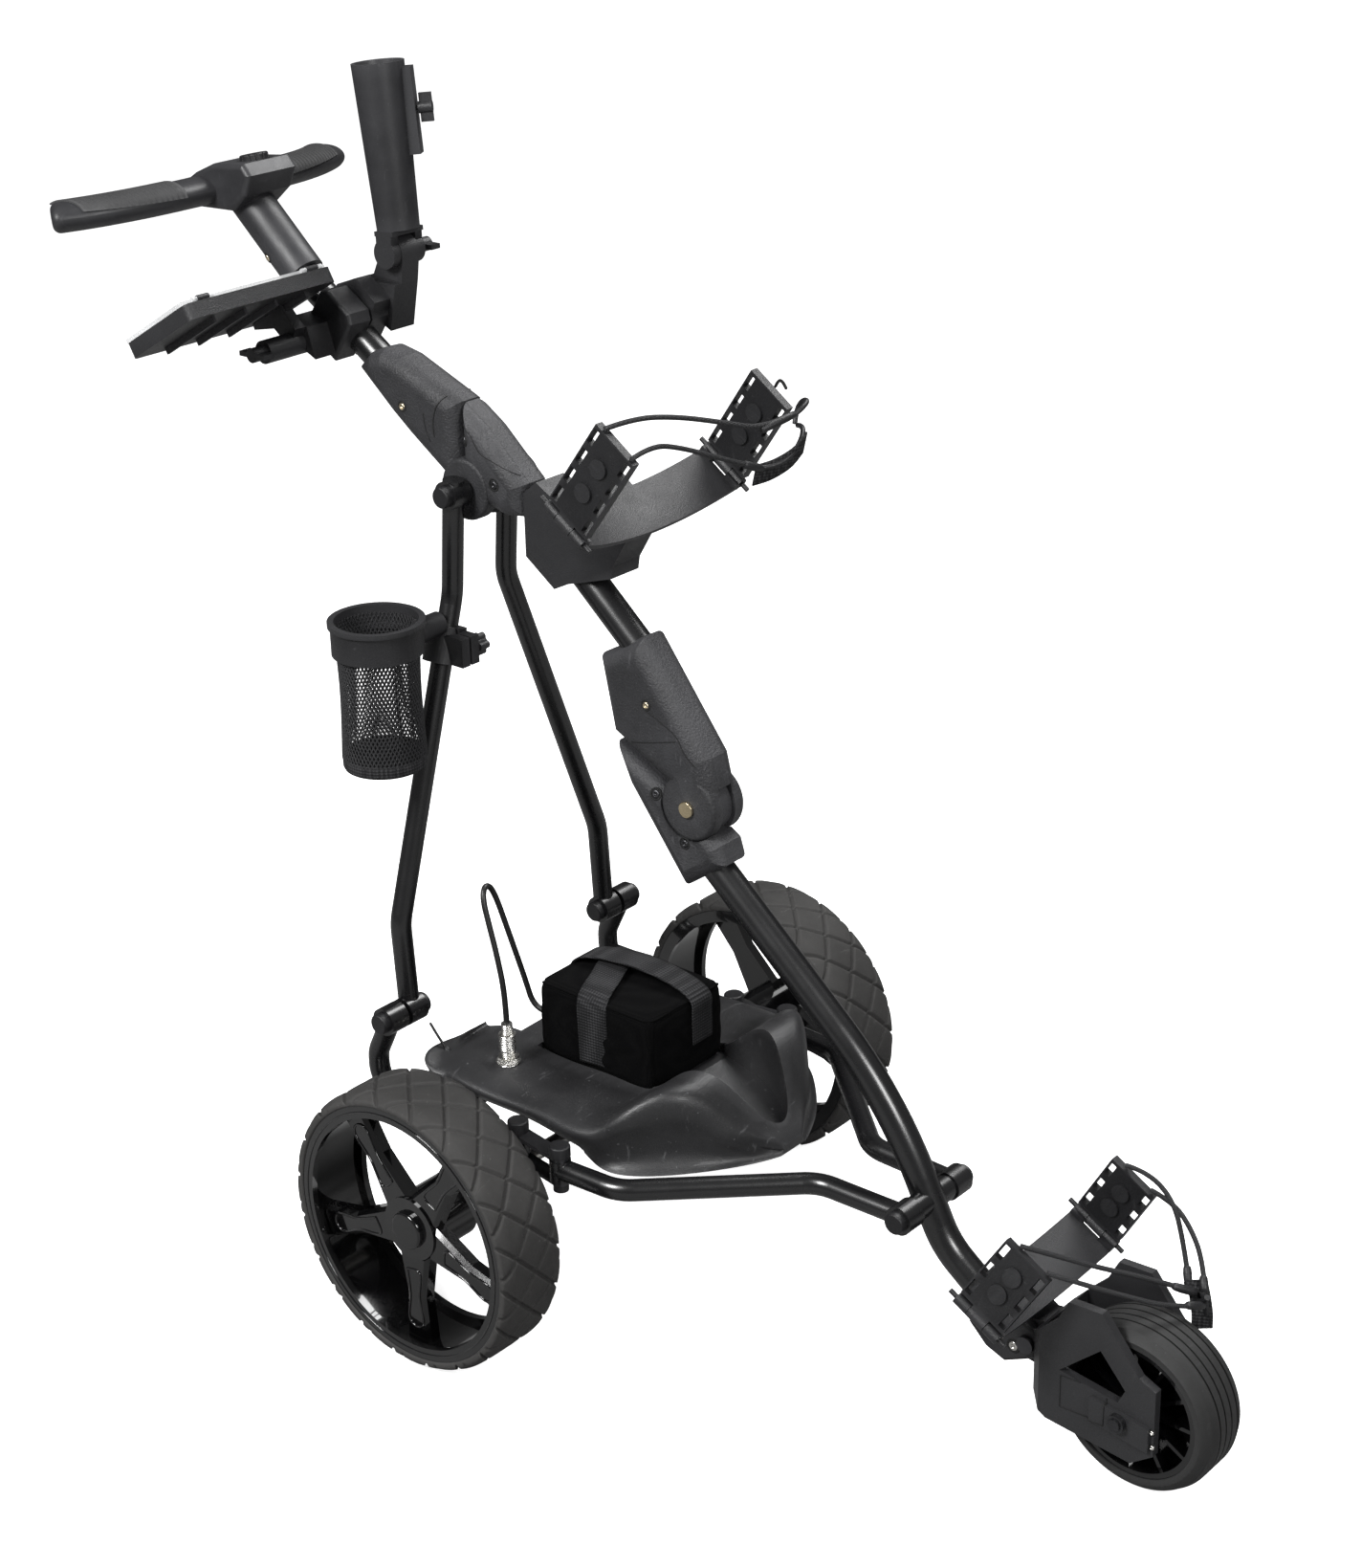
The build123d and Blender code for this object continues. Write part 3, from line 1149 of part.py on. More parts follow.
def speed_dial():
    body = Cylinder(15, 15, align=(Align.CENTER, Align.CENTER, Align.MIN))
    body = fillet(body.edges().group_by(Axis.Z)[-1], 2)
    for index in range(12):
        body = body - Rot(0, 0, index * 30) * Pos(15.6, 0, 6) * Cylinder(1.6, 12, align=(Align.CENTER, Align.CENTER, Align.MIN))
    return dial_axis() * Pos(0, 0, GAP) * body


def handle_grips():
    """Soft top covers on both ends of the bar."""
    skin = bar(TEE_HALF_W - 1, BAR_HALF_X + 2, BAR_HALF_Z + 2)
    skin = skin - bar(TEE_HALF_W, BAR_HALF_X, BAR_HALF_Z)
    pieces = []
    for side in (1, -1):
        zone = block((TEE_X - 60, side * 122, TEE_Z + 52), (200, 104, 100))
        cover = skin & zone
        pieces.append(max(cover.solids(), key=lambda solid: solid.volume))
    return pieces


def along_handle():
    """Frame of the clamp: X up along the handle tube, Z square to it."""
    run = (HANDLE_TUBE_END[0] - HANDLE_TUBE_TOP[0], HANDLE_TUBE_END[1] - HANDLE_TUBE_TOP[1])
    return math.degrees(math.atan2(-run[1], run[0]))


def clamp_point():
    """Point of the handle tube's axis at the clamp's X."""
    share = (CLAMP_AT[0] - HANDLE_TUBE_END[0]) / (HANDLE_TUBE_TOP[0] - HANDLE_TUBE_END[0])
    return (CLAMP_AT[0], HANDLE_TUBE_END[1] + share * (HANDLE_TUBE_TOP[1] - HANDLE_TUBE_END[1]))


def clamp_block():
    """Split clamp on the handle tube, with a raised lug on each side for the holders."""
    half = CLAMP_L / 2
    outline = [(-half, -24), (half, -24), (half, 26), (half - 8, 34), (-half + 8, 34), (-half, 26)]
    body = rounded_slab(outline, CLAMP_HALF_W, 4)
    body = body - block((0, 0, 30), (200, 3, 28)) - block((0, 0, -22), (200, 3, 12))
    body = tilted(clamp_point(), along_handle(), body)
    lug = [(-334, 974), (-286, 950), (-276, 1000), (-272, 1029), (-304, 1029), (-318, 1000)]
    top = [(-352, 978), (-338, 996), (-310, 1006), (-284, 984), (-296, 956), (-330, 960)]
    body = body + slab(top, 2, UMBRELLA_Y + 14)
    body = body + slab(lug, CLAMP_HALF_W - 6, UMBRELLA_Y + 12) + y_rod(UMBRELLA_PIVOT, 16, UMBRELLA_Y - 12, UMBRELLA_Y + 12)
    body = body - block((UMBRELLA_PIVOT[0], UMBRELLA_Y - 17, UMBRELLA_PIVOT[1]), (60, 10 + 2 * GAP, 60))
    body = body - slab([(-345, 1008), (-240, 1008), (-240, 1070), (-345, 1070)], 0, UMBRELLA_Y - 12)
    card = slab([(-346, 950), (-312, 934), (-322, 966), (-350, 972)], -CARD_LUG_Y, -CLAMP_HALF_W + 6)
    body = body + card + y_rod(CARD_PIVOT, 12, -CARD_LUG_Y, -CLAMP_HALF_W + 2)
    body = body - tube_space(HANDLE_TUBE_END, HANDLE_TUBE_TOP, MAIN_TUBE_R)
    body = body - y_rod(UMBRELLA_PIVOT, BOLT_R + RUN_FIT, 10, 100)
    return body - y_rod(CARD_PIVOT, BOLT_R + RUN_FIT, -100, -CLAMP_HALF_W - 2)


def umbrella_swivel():
    """Forked knuckle under the umbrella tube, on a cross pin with a wing knob at its end."""
    x, z = UMBRELLA_PIVOT
    low, high = UMBRELLA_Y - 22, UMBRELLA_Y + 22
    body = y_rod(UMBRELLA_PIVOT, 15, low, UMBRELLA_Y - 12 - GAP) + y_rod(UMBRELLA_PIVOT, 15, UMBRELLA_Y + 12 + GAP, high)
    body = body + block((x, UMBRELLA_Y - 17.15, z + 10), (22, 9.7, 18)) + block((x, UMBRELLA_Y + 17.15, z + 10), (22, 9.7, 18))
    seat = Box(26, high - low, 5, align=(Align.CENTER, Align.CENTER, Align.MAX))
    body = body + Pos(x, UMBRELLA_Y, z + UMBRELLA_SEAT) * Rot(0, -UMBRELLA_LEAN, 0) * seat
    body = body + y_rod(UMBRELLA_PIVOT, BOLT_R, low, high + 4)
    return body


def wing_knob(radius, thick):
    """Two-winged thumb knob about the Z axis, standing on the XY plane."""
    body = Cylinder(radius * 0.5, thick, align=(Align.CENTER, Align.CENTER, Align.MIN))
    for side in (1, -1):
        wing = Pos(side * radius * 0.75, 0, thick * 0.55) * Box(radius * 0.9, 5, thick * 0.9)
        body = body + wing
    return body


def umbrella_tube():
    """Upright holder for an umbrella shaft, with the raised rib its thumb screw goes through."""
    x, z = UMBRELLA_PIVOT
    base = z + UMBRELLA_SEAT
    low_end = (Align.CENTER, Align.CENTER, Align.MIN)
    body = Cone(UMBRELLA_R, UMBRELLA_R + UMBRELLA_FLARE, UMBRELLA_L, align=low_end)
    rib = Rot(0, 0, RIB_TURN) * Pos(UMBRELLA_R + 3, 0, UMBRELLA_L * 0.70) * Box(18, 18, UMBRELLA_L * 0.52)
    body = body + rib
    bore = Cylinder(UMBRELLA_BORE_R, UMBRELLA_L, align=low_end)
    mouth = Cone(UMBRELLA_BORE_R, UMBRELLA_BORE_R + UMBRELLA_FLARE + 0.5, UMBRELLA_L - UMBRELLA_BORE_TOP, align=low_end)
    body = body - Pos(0, 0, UMBRELLA_FLOOR) * bore - Pos(0, 0, UMBRELLA_BORE_TOP) * mouth
    screw = Rot(0, 0, RIB_TURN) * Pos(UMBRELLA_R - 8, 0, KNOB_UP) * Rot(0, 90, 0) * Cylinder(3, 40, align=(Align.CENTER, Align.CENTER, Align.MIN))
    body = body - screw
    return Pos(x, UMBRELLA_Y, base) * Rot(0, -UMBRELLA_LEAN, 0) * body


def umbrella_knobs():
    """Thumb screw in the tube's rib and the wing knob on the swivel pin."""
    x, z = UMBRELLA_PIVOT
    stem = Cylinder(3, 15, align=(Align.CENTER, Align.CENTER, Align.MIN))
    upper = Pos(UMBRELLA_R + 1, 0, 0) * Rot(0, 90, 0) * (stem + Pos(0, 0, 13) * wing_knob(12, 14))
    upper = Rot(0, 0, RIB_TURN) * Pos(0, 0, KNOB_UP) * upper
    upper = Pos(x, UMBRELLA_Y, z + UMBRELLA_SEAT) * Rot(0, -UMBRELLA_LEAN, 0) * upper
    lower = Pos(x, UMBRELLA_Y + 26, z) * Rot(-90, 0, 0) * wing_knob(15, 14)
    return [upper, lower]


def card_frame(shape):
    """Card holder's own frame: X down its slope from the front edge, Z out of its face."""
    return Pos(CARD_FRONT[0], CARD_Y, CARD_FRONT[1]) * Rot(0, -CARD_TILT, 0) * Rot(0, 0, 180) * shape


def card_tray():
    """Shallow open box for the scorecard, ribbed underneath."""
    body = block((CARD_D / 2, 0, -CARD_T / 2), (CARD_D, CARD_W, CARD_T))
    body = fillet(body.edges().filter_by(Axis.Z), 8)
    body = body - block((CARD_D / 2, 0, -CARD_T / 2 + 3), (CARD_D - 8, CARD_W - 8, CARD_T))
    for y in (-60, -20, 20, 60):
        body = body + block((CARD_D / 2, y, -CARD_T - 3), (CARD_D - 24, 3, 7))
    for y in (-CARD_W / 2 + 24, CARD_W / 2 - 24):
        body = body + rod((2, y - 7, CARD_HINGE_Z), (2, y + 7, CARD_HINGE_Z), 3)
        body = body - rod((2, y - 8, CARD_HINGE_Z), (2, y + 8, CARD_HINGE_Z), 1.5)
    return card_frame(body)


def card_lid():
    """Clear lid, hinged on the front edge."""
    low = GAP
    body = block((CARD_D / 2 + 3, 0, low + CARD_LID_T / 2), (CARD_D - 6, CARD_W, CARD_LID_T))
    body = fillet(body.edges().filter_by(Axis.Z), 6)
    for y in (-CARD_W / 2 + 24, CARD_W / 2 - 24):
        body = body - block((0, y, 2), (14, 15, 12))
        for step in (-10.5, 10.5):
            body = body + rod((2, y + step - 3, CARD_HINGE_Z), (2, y + step + 3, CARD_HINGE_Z), 2.2)
            body = body + block((5, y + step, low + 1.5), (6, 6, 3))
        body = body + rod((2, y - 10, CARD_HINGE_Z), (2, y + 10, CARD_HINGE_Z), 1.5 - RUN_FIT)
    return card_frame(body)


def card_arm():
    """Arm under the card box, hinged on the clamp lug, with its wing knob."""
    near = -CARD_LUG_Y - GAP
    far = near - 13
    body = y_rod(CARD_PIVOT, 12, far - 34, near)
    arm = [(-334, 944), (-324, 966), (-350, 992), (-392, 968), (-386, 956), (-356, 962)]
    body = body + slab(arm, far, near)
    body = body + y_rod(CARD_PIVOT, BOLT_R, near - 2, -CLAMP_HALF_W - 3)
    knob = Pos(CARD_PIVOT[0], far - 34, CARD_PIVOT[1]) * Rot(90, 0, 0) * wing_knob(15, 16)
    body = body + knob
    space = card_frame(block((CARD_D / 2, 0, 20 - CARD_T), (CARD_D + 40, CARD_W + 40, 40)))
    body = body - space
    for y in (-60, -20, 20, 60):
        body = body - card_frame(block((CARD_D / 2, y, -CARD_T - 3), (CARD_D - 24, 3, 7)))
    return body


# --- whole object -----------------------------------------------------------------------------------
def chassis_nodes():
    return {
        "axle_frame": axle_frame(),
        "bearing_blocks": [bearing_block(1), bearing_block(-1)],
        "gearbox_housing": gearbox_housing(),
        "motor": motor(),
        "tray": tray(),
        "power_socket": power_socket(),
        "lower_stays": [lower_stay(1), lower_stay(-1)],
        "link_plates": link_plates(),
        "chassis_bolts": chassis_bolts(),
        "drive_axle": drive_axle(),
        "motor_pinion": motor_pinion(),
        "battery_pack": battery_pack(),
        "battery_bag": battery_bag(),
        "battery_plug": battery_plug(),
        "battery_lead": battery_lead(),
    }


def strut_nodes():
    return {
        "rear_stays": rear_stays(),
        "stay_bolts": [stay_bolt(1), stay_bolt(-1)],
        "drink_clamp": drink_clamp(),
        "drink_knob": drink_knob(),
        "drink_ring": drink_ring(),
        "drink_net": drink_net(),
    }


def lower_nodes():
    nodes = {
        "lower_tube": lower_tube(),
        "knee_base_shells": knee_base_shells(),
        "fold_pin": fold_pin(),
        "front_fork": front_fork(),
        "fork_bracket": fork_bracket(),
        "tracking_plates": [tracking_plate(1), tracking_plate(-1)],
        "fork_bolts": [fork_bolt(), front_axle()],
        "front_tyre": front_tyre(),
        "front_rim": front_rim(),
        "lower_saddle": lower_saddle(),
    }
    frame = (
        LOWER_CRADLE, LOWER_CRADLE_TILT, LOWER_SHIFT, LOWER_CRADLE_RISE,
        LOWER_SADDLE_ANGLE, LOWER_PAD_H, (LOWER_LEAN_LEFT, LOWER_LEAN_RIGHT),
    )
    nodes.update(cradle_pads(*frame, "lower_pad"))
    nodes["lower_bungees"] = elastic_cords(LOWER_CORDS)
    return nodes


def upper_nodes():
    nodes = {
        "mid_tube": mid_tube(),
        "knee_top_shells": knee_top_shells(),
        "elbow_shells": elbow_shells(),
        "upper_saddle": upper_saddle(),
    }
    frame = (
        UPPER_CRADLE, UPPER_CRADLE_TILT, CRADLE_SHIFT, UPPER_CRADLE_RISE,
        UPPER_SADDLE_ANGLE, UPPER_PAD_H, (UPPER_LEAN, UPPER_LEAN),
    )
    nodes.update(cradle_pads(*frame, "upper_pad"))
    nodes["upper_bungees"] = elastic_cords(UPPER_CORDS)
    return nodes


def handle_nodes():
    return {
        "handle_tube": handle_tube(),
        "elbow_sleeve_shells": elbow_sleeve_shells(),
        "tee_handle": tee_handle(),
        "handle_grips": handle_grips(),
        "speed_dial": speed_dial(),
        "clamp_block": clamp_block(),
        "umbrella_swivel": umbrella_swivel(),
        "umbrella_tube": umbrella_tube(),
        "umbrella_knobs": umbrella_knobs(),
        "card_tray": card_tray(),
        "card_lid": card_lid(),
        "card_arm": card_arm(),
    }


def gathered(shape):
    """Every node as one compound of its solids."""
    parts = shape if isinstance(shape, list) else [shape]
    return Compound([solid for part in parts for solid in part.solids()])


def place(nodes):
    """Move every node so that the middle of the whole object's box is at X 0."""
    boxes = [shape.bounding_box() for shape in nodes.values()]
    centre_x = (min(box.min.X for box in boxes) + max(box.max.X for box in boxes)) / 2
    print("middle of the object, ahead of the rear axle:", round(centre_x, 2))
    return {name: Pos(-centre_x, 0, 0) * shape for name, shape in nodes.items()}


def build_all():
    nodes = rear_wheel_nodes()
    for group in (chassis_nodes, strut_nodes, lower_nodes, upper_nodes, handle_nodes):
        nodes.update(group())
    return place({name: gathered(shape) for name, shape in nodes.items()})


os.makedirs("parts", exist_ok=True)
for node_name, node_shape in build_all().items():
    export_step(node_shape, "parts/" + node_name + ".step")
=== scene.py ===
import math

import bpy
import numpy as np
from mathutils import Matrix, Vector


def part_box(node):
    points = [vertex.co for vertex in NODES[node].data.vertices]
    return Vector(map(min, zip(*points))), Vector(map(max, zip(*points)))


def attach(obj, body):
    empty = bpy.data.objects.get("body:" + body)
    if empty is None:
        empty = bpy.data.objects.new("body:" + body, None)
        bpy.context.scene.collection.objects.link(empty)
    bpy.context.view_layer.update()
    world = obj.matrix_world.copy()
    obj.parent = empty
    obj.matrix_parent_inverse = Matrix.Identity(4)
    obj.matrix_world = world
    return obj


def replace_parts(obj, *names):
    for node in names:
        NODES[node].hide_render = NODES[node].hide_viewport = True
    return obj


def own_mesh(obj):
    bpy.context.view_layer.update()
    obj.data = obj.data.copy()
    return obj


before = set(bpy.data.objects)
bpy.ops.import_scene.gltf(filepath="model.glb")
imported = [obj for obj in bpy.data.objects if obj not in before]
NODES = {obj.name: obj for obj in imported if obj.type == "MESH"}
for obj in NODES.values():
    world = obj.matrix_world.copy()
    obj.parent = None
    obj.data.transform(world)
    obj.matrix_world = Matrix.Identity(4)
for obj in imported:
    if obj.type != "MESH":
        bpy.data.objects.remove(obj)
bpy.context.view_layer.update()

SCENE = bpy.context.scene

# Lengths are in mm and places are measured from the rear axle's point on the ground, with x towards the front
# wheel, y to the left and z up, unless a comment says metres. A side is 1 for left and -1 for right.
MM = 1000  # in a metre
MIDDLE_X = 95.07  # from the rear axle to the middle of the object's box
SIDE_WORDS = {1: "left", -1: "right"}


def place(points):
    """Points in mm from the rear axle's ground point, in metres in the object's own frame."""
    return (np.array(points, float) - (MIDDLE_X, 0, 0)) / MM


# --- camera ----------------------------------------------------------------------------------------
CAMERA_SPOT = (1802.83, -1947.79, 1698.14)
CAMERA_AZIMUTH, CAMERA_ELEVATION, CAMERA_ROLL = 40.7646, 23.0576, -1.2437  # degrees
CAMERA_SENSOR, CAMERA_LENS = 36, 65.64
CAMERA_SHIFT_X, CAMERA_SHIFT_Y = -0.00493, -0.02415  # shares of the sensor
CAMERA_REACH = 60  # metres


def make_camera():
    """The camera's back points from the object to the camera; level and rise are turned about it by the roll."""
    azimuth, elevation, roll = map(math.radians, (CAMERA_AZIMUTH, CAMERA_ELEVATION, CAMERA_ROLL))
    back = Vector((
        math.sin(azimuth) * math.cos(elevation),
        -math.cos(azimuth) * math.cos(elevation),
        math.sin(elevation),
    ))
    level = Vector((math.cos(azimuth), math.sin(azimuth), 0))
    rise = back.cross(level)
    right = math.cos(roll) * level + math.sin(roll) * rise
    up = -math.sin(roll) * level + math.cos(roll) * rise
    camera = bpy.data.objects.new("camera", bpy.data.cameras.new("camera"))
    turn = Matrix((right, up, back)).transposed().to_4x4()
    camera.matrix_world = Matrix.Translation(Vector(place(CAMERA_SPOT))) @ turn
    camera.data.sensor_width = CAMERA_SENSOR
    camera.data.lens = CAMERA_LENS
    camera.data.shift_x = CAMERA_SHIFT_X
    camera.data.shift_y = CAMERA_SHIFT_Y
    camera.data.clip_end = CAMERA_REACH
    SCENE.collection.objects.link(camera)
    SCENE.camera = camera


# --- finishes --------------------------------------------------------------------------------------
# The scales of noise and waves are per metre of the object.
CLOUD_SCALE, GLOSS_SCALE, SPECK_SCALE = 14.0, 45.0, 210.0
SCRATCH_SCALE, SCRATCH_TURN = (160, 24, 30), (0.5, 0.8, 0.4)  # long thin cells, turned in radians
BUMP_RISE = 0.0012  # metres
THREAD_WANDER = 0.6
MOST_WEAR = 0.9  # the share of the worn colour that scratches and specks never pass


def grey(share):
    return (share, share, share)


def node_of(tree, kind, vector=None, **values):
    """A shader node with its named inputs set, reading the vector where one is given."""
    node = tree.nodes.new("ShaderNode" + kind)
    for socket, value in values.items():
        node.inputs[socket].default_value = value
    if vector is not None:
        tree.links.new(vector, node.inputs["Vector"])
    return node


def ramp(tree, source, low, high, dark, light):
    """Colour that goes from dark where the source is low to light where it is high."""
    node = node_of(tree, "ValToRGB")
    for element, position, colour in zip(node.color_ramp.elements, (low, high), (dark, light)):
        element.position = position
        element.color = (*colour, 1)
    tree.links.new(source, node.inputs["Fac"])
    return node.outputs["Color"]


def noise(tree, vector, scale, detail=4.0, rough=0.6):
    return node_of(tree, "TexNoise", vector, Scale=scale, Detail=detail, Roughness=rough).outputs["Fac"]


def wave(tree, vector, direction, scale, **values):
    node = node_of(tree, "TexWave", vector, Scale=scale, **values)
    node.bands_direction = direction
    return node.outputs["Fac"]


def mixed(tree, share, a, b):
    """Colour a, with b in its place by the share."""
    node = node_of(tree, "Mix")
    node.data_type = "RGBA"
    for index, source in ((0, share), (6, a), (7, b)):
        tree.links.new(source, node.inputs[index])
    return node.outputs[2]


def sum_or_product(tree, kind, a, b):
    """ADD or MULTIPLY of two sockets, or of a socket and a number."""
    node = node_of(tree, "Math")
    node.operation = kind
    for socket, value in zip(node.inputs, (a, b)):
        if isinstance(value, (int, float)):
            socket.default_value = value
        else:
            tree.links.new(value, socket)
    return node.outputs[0]


def surface(name, base, rough, metal=0.0, grain=900.0, grain_depth=0.25, scuffs=0.5, edge=0.6, spread=0.25,
            weave=0.0, coat=0.0, light=None, specular=0.4, play=0.07):
    """Worn finish with painted highlights: the base colour is clouded darker and lighter by spread, and leans to a
    paler colour in thin scratches and specks as wear, on raised edges as edge wear and a painted edge highlight,
    and on the tops of woven threads as a painted highlight. The roughness wanders by play, and the relief is a
    fine grain, or the sum of three crossed waves where there is a weave."""
    made = bpy.data.materials.new(name)
    made.use_nodes = True
    tree = made.node_tree
    shader = tree.nodes["Principled BSDF"].inputs
    where = node_of(tree, "TexCoord").outputs["Object"]
    base = np.array(base)
    # pale colour for scratches and specks, and for the painted highlights on raised edges and thread tops
    wear_and_highlight = node_of(tree, "RGB").outputs[0]
    wear_and_highlight.default_value = (*(np.minimum(base * 3.0 + 0.03, 1) if light is None else light), 1)

    def leaning(colour, source, low, high, share):
        """The colour, leaning to the pale colour of wear and painted highlights by the share where the source goes
        from low to high.
        """
        return mixed(tree, ramp(tree, source, low, high, grey(0), grey(share)), colour, wear_and_highlight)

    colour = ramp(tree, noise(tree, where, CLOUD_SCALE), 0.3, 0.7, base * (1 - spread), base * (1 + spread))
    if scuffs:
        cells = node_of(tree, "Mapping", where, Scale=SCRATCH_SCALE, Rotation=SCRATCH_TURN).outputs["Vector"]
        scratches = noise(tree, cells, 1.0, 6.0, 0.7)
        colour = leaning(colour, scratches, 0.62, 0.72, min(scuffs * 0.5, MOST_WEAR))
        specks = noise(tree, where, SPECK_SCALE, 2.0, 0.5)
        colour = leaning(colour, specks, 0.70, 0.78, min(scuffs * 0.6, MOST_WEAR))
    # raised edges lean paler: edge wear together with a painted edge highlight
    if edge:
        colour = leaning(colour, node_of(tree, "NewGeometry").outputs["Pointiness"], 0.51, 0.60, edge * 0.5)
    height = noise(tree, where, grain, 3.0)
    if weave:
        x, y, z = (wave(tree, where, axis, weave, Distortion=THREAD_WANDER) for axis in "XYZ")
        crossing = sum_or_product(tree, "ADD", sum_or_product(tree, "ADD", x, y), z)
        # painted highlight: the tops of the woven threads lean paler, and the hollows between them stay darker as
        # painted shade
        colour = leaning(colour, sum_or_product(tree, "MULTIPLY", crossing, 0.33), 0.45, 0.75, 0.5)
        threads = sum_or_product(tree, "MULTIPLY", crossing, 0.5)
        height = sum_or_product(tree, "ADD", threads, sum_or_product(tree, "MULTIPLY", height, 0.5))
    smoothest, roughest = max(rough - play, 0.02), min(rough + play, 1)
    gloss = ramp(tree, noise(tree, where, GLOSS_SCALE), 0.25, 0.75, grey(smoothest), grey(roughest))
    bump = node_of(tree, "Bump", Strength=grain_depth, Distance=BUMP_RISE)
    tree.links.new(height, bump.inputs["Height"])
    for socket, source in (("Base Color", colour), ("Roughness", gloss), ("Normal", bump.outputs["Normal"])):
        tree.links.new(source, shader[socket])
    shader["Metallic"].default_value = metal
    shader["Coat Weight"].default_value = coat
    shader["Specular IOR Level"].default_value = specular
    return made


def ribbed(name, base, rough, direction, scale, depth, metal=0.0):
    """The worn finish, with its painted edge highlights, and straight ribs: a wave in one direction added to its
    grain.
    """
    made = surface(name, base, rough, metal=metal, scuffs=0.3)
    tree = made.node_tree
    bump = next(node for node in tree.nodes if node.type == "BUMP")
    where = next(node for node in tree.nodes if node.type == "TEX_COORD").outputs["Object"]
    grain = sum_or_product(tree, "MULTIPLY", bump.inputs["Height"].links[0].from_socket, 0.3)
    height = sum_or_product(tree, "ADD", grain, wave(tree, where, direction, scale))
    tree.links.new(height, bump.inputs["Height"])
    bump.inputs["Strength"].default_value = depth
    return made


def clear_plastic(name):
    """Clear moulded lid with faint rubbing marks."""
    made = surface(name, (0.86, 0.87, 0.88), 0.14, grain=300, grain_depth=0.05, scuffs=0.5, edge=0.6)
    shader = made.node_tree.nodes["Principled BSDF"].inputs
    shader["Transmission Weight"].default_value = 0.35
    shader["IOR"].default_value = 1.45
    shader["Alpha"].default_value = 0.55
    return made


MATERIALS = {
    "moulded": surface("moulded_black", (0.009, 0.009, 0.010), 0.42, grain=800, grain_depth=0.4, scuffs=0.55),
    "housing": surface("housing_black", (0.024, 0.024, 0.026), 0.50, grain=420, grain_depth=1.0, scuffs=1.0,
                       spread=0.45),
    "smooth": surface("smooth_black", (0.022, 0.022, 0.024), 0.44, grain_depth=0.12, scuffs=0.4, edge=0.4),
    "tray": surface("tray_black", (0.020, 0.020, 0.021), 0.38, grain_depth=0.3, scuffs=1.7, coat=0.05),
    "paint": surface("frame_paint", (0.004, 0.004, 0.0045), 0.27, grain=160, grain_depth=0.02, scuffs=0.05,
                     edge=0.1, play=0.02, specular=0.8),
    "gloss": surface("rim_gloss", (0.0018, 0.0018, 0.0020), 0.12, grain=120, grain_depth=0.03, scuffs=0.12,
                     edge=0.3, coat=1.0, play=0.03, specular=0.3),
    "tyre": surface("tyre_rubber", (0.033, 0.032, 0.031), 0.74, grain=1200, grain_depth=0.6, scuffs=0.7, edge=0.5),
    "front_tyre": surface("front_rubber", (0.012, 0.012, 0.012), 0.58, grain=1200, grain_depth=0.4, scuffs=0.4),
    "cap": surface("cap_black", (0.009, 0.009, 0.010), 0.40, grain_depth=0.3, scuffs=0.3),
    "dark_steel": surface("dark_steel", (0.045, 0.045, 0.048), 0.36, metal=0.9, grain=600, grain_depth=0.1,
                          scuffs=0.3),
    "steel": surface("bright_steel", (0.62, 0.60, 0.56), 0.24, metal=1.0, grain=700, grain_depth=0.12, scuffs=0.3),
    "brass": surface("screw_brass", (0.62, 0.52, 0.34), 0.28, metal=1.0, grain=600, grain_depth=0.1, scuffs=0.2),
    "gear": surface("gear_plastic", (0.62, 0.60, 0.54), 0.50, grain=500, grain_depth=0.2, scuffs=0.2),
    "motor": surface("motor_can", (0.09, 0.09, 0.095), 0.34, metal=0.8, grain=500, grain_depth=0.1, scuffs=0.4),
    "fabric": surface("bag_fabric", (0.0016, 0.0016, 0.0018), 0.95, grain=2400, grain_depth=0.6, scuffs=0.12,
                      edge=0.0, weave=300, light=(0.006, 0.006, 0.006), specular=0.08),
    "webbing": surface("webbing", (0.011, 0.011, 0.012), 0.78, grain=1600, grain_depth=0.9, scuffs=0.25, edge=0.1,
                       weave=95, specular=0.25),
    "net": surface("net_thread", (0.006, 0.006, 0.007), 0.66, grain=1800, grain_depth=0.5, scuffs=0.2, weave=300),
    "elastic": surface("elastic_sleeve", (0.008, 0.008, 0.009), 0.60, grain=1500, grain_depth=0.7, scuffs=0.2,
                       weave=260),
    "lead": surface("lead_skin", (0.006, 0.006, 0.006), 0.38, grain=500, grain_depth=0.1, scuffs=0.2),
    "grip": ribbed("grip_ribs", (0.030, 0.030, 0.031), 0.70, "Y", 52, 0.9),
    "knurl": ribbed("knurled_steel", (0.60, 0.59, 0.56), 0.26, "Z", 160, 0.7, metal=1.0),
    "clear": clear_plastic("clear_lid"),
    "groove": surface("parting_line", (0.006, 0.006, 0.006), 0.8, grain=500, grain_depth=0.1, scuffs=0, edge=0),
}

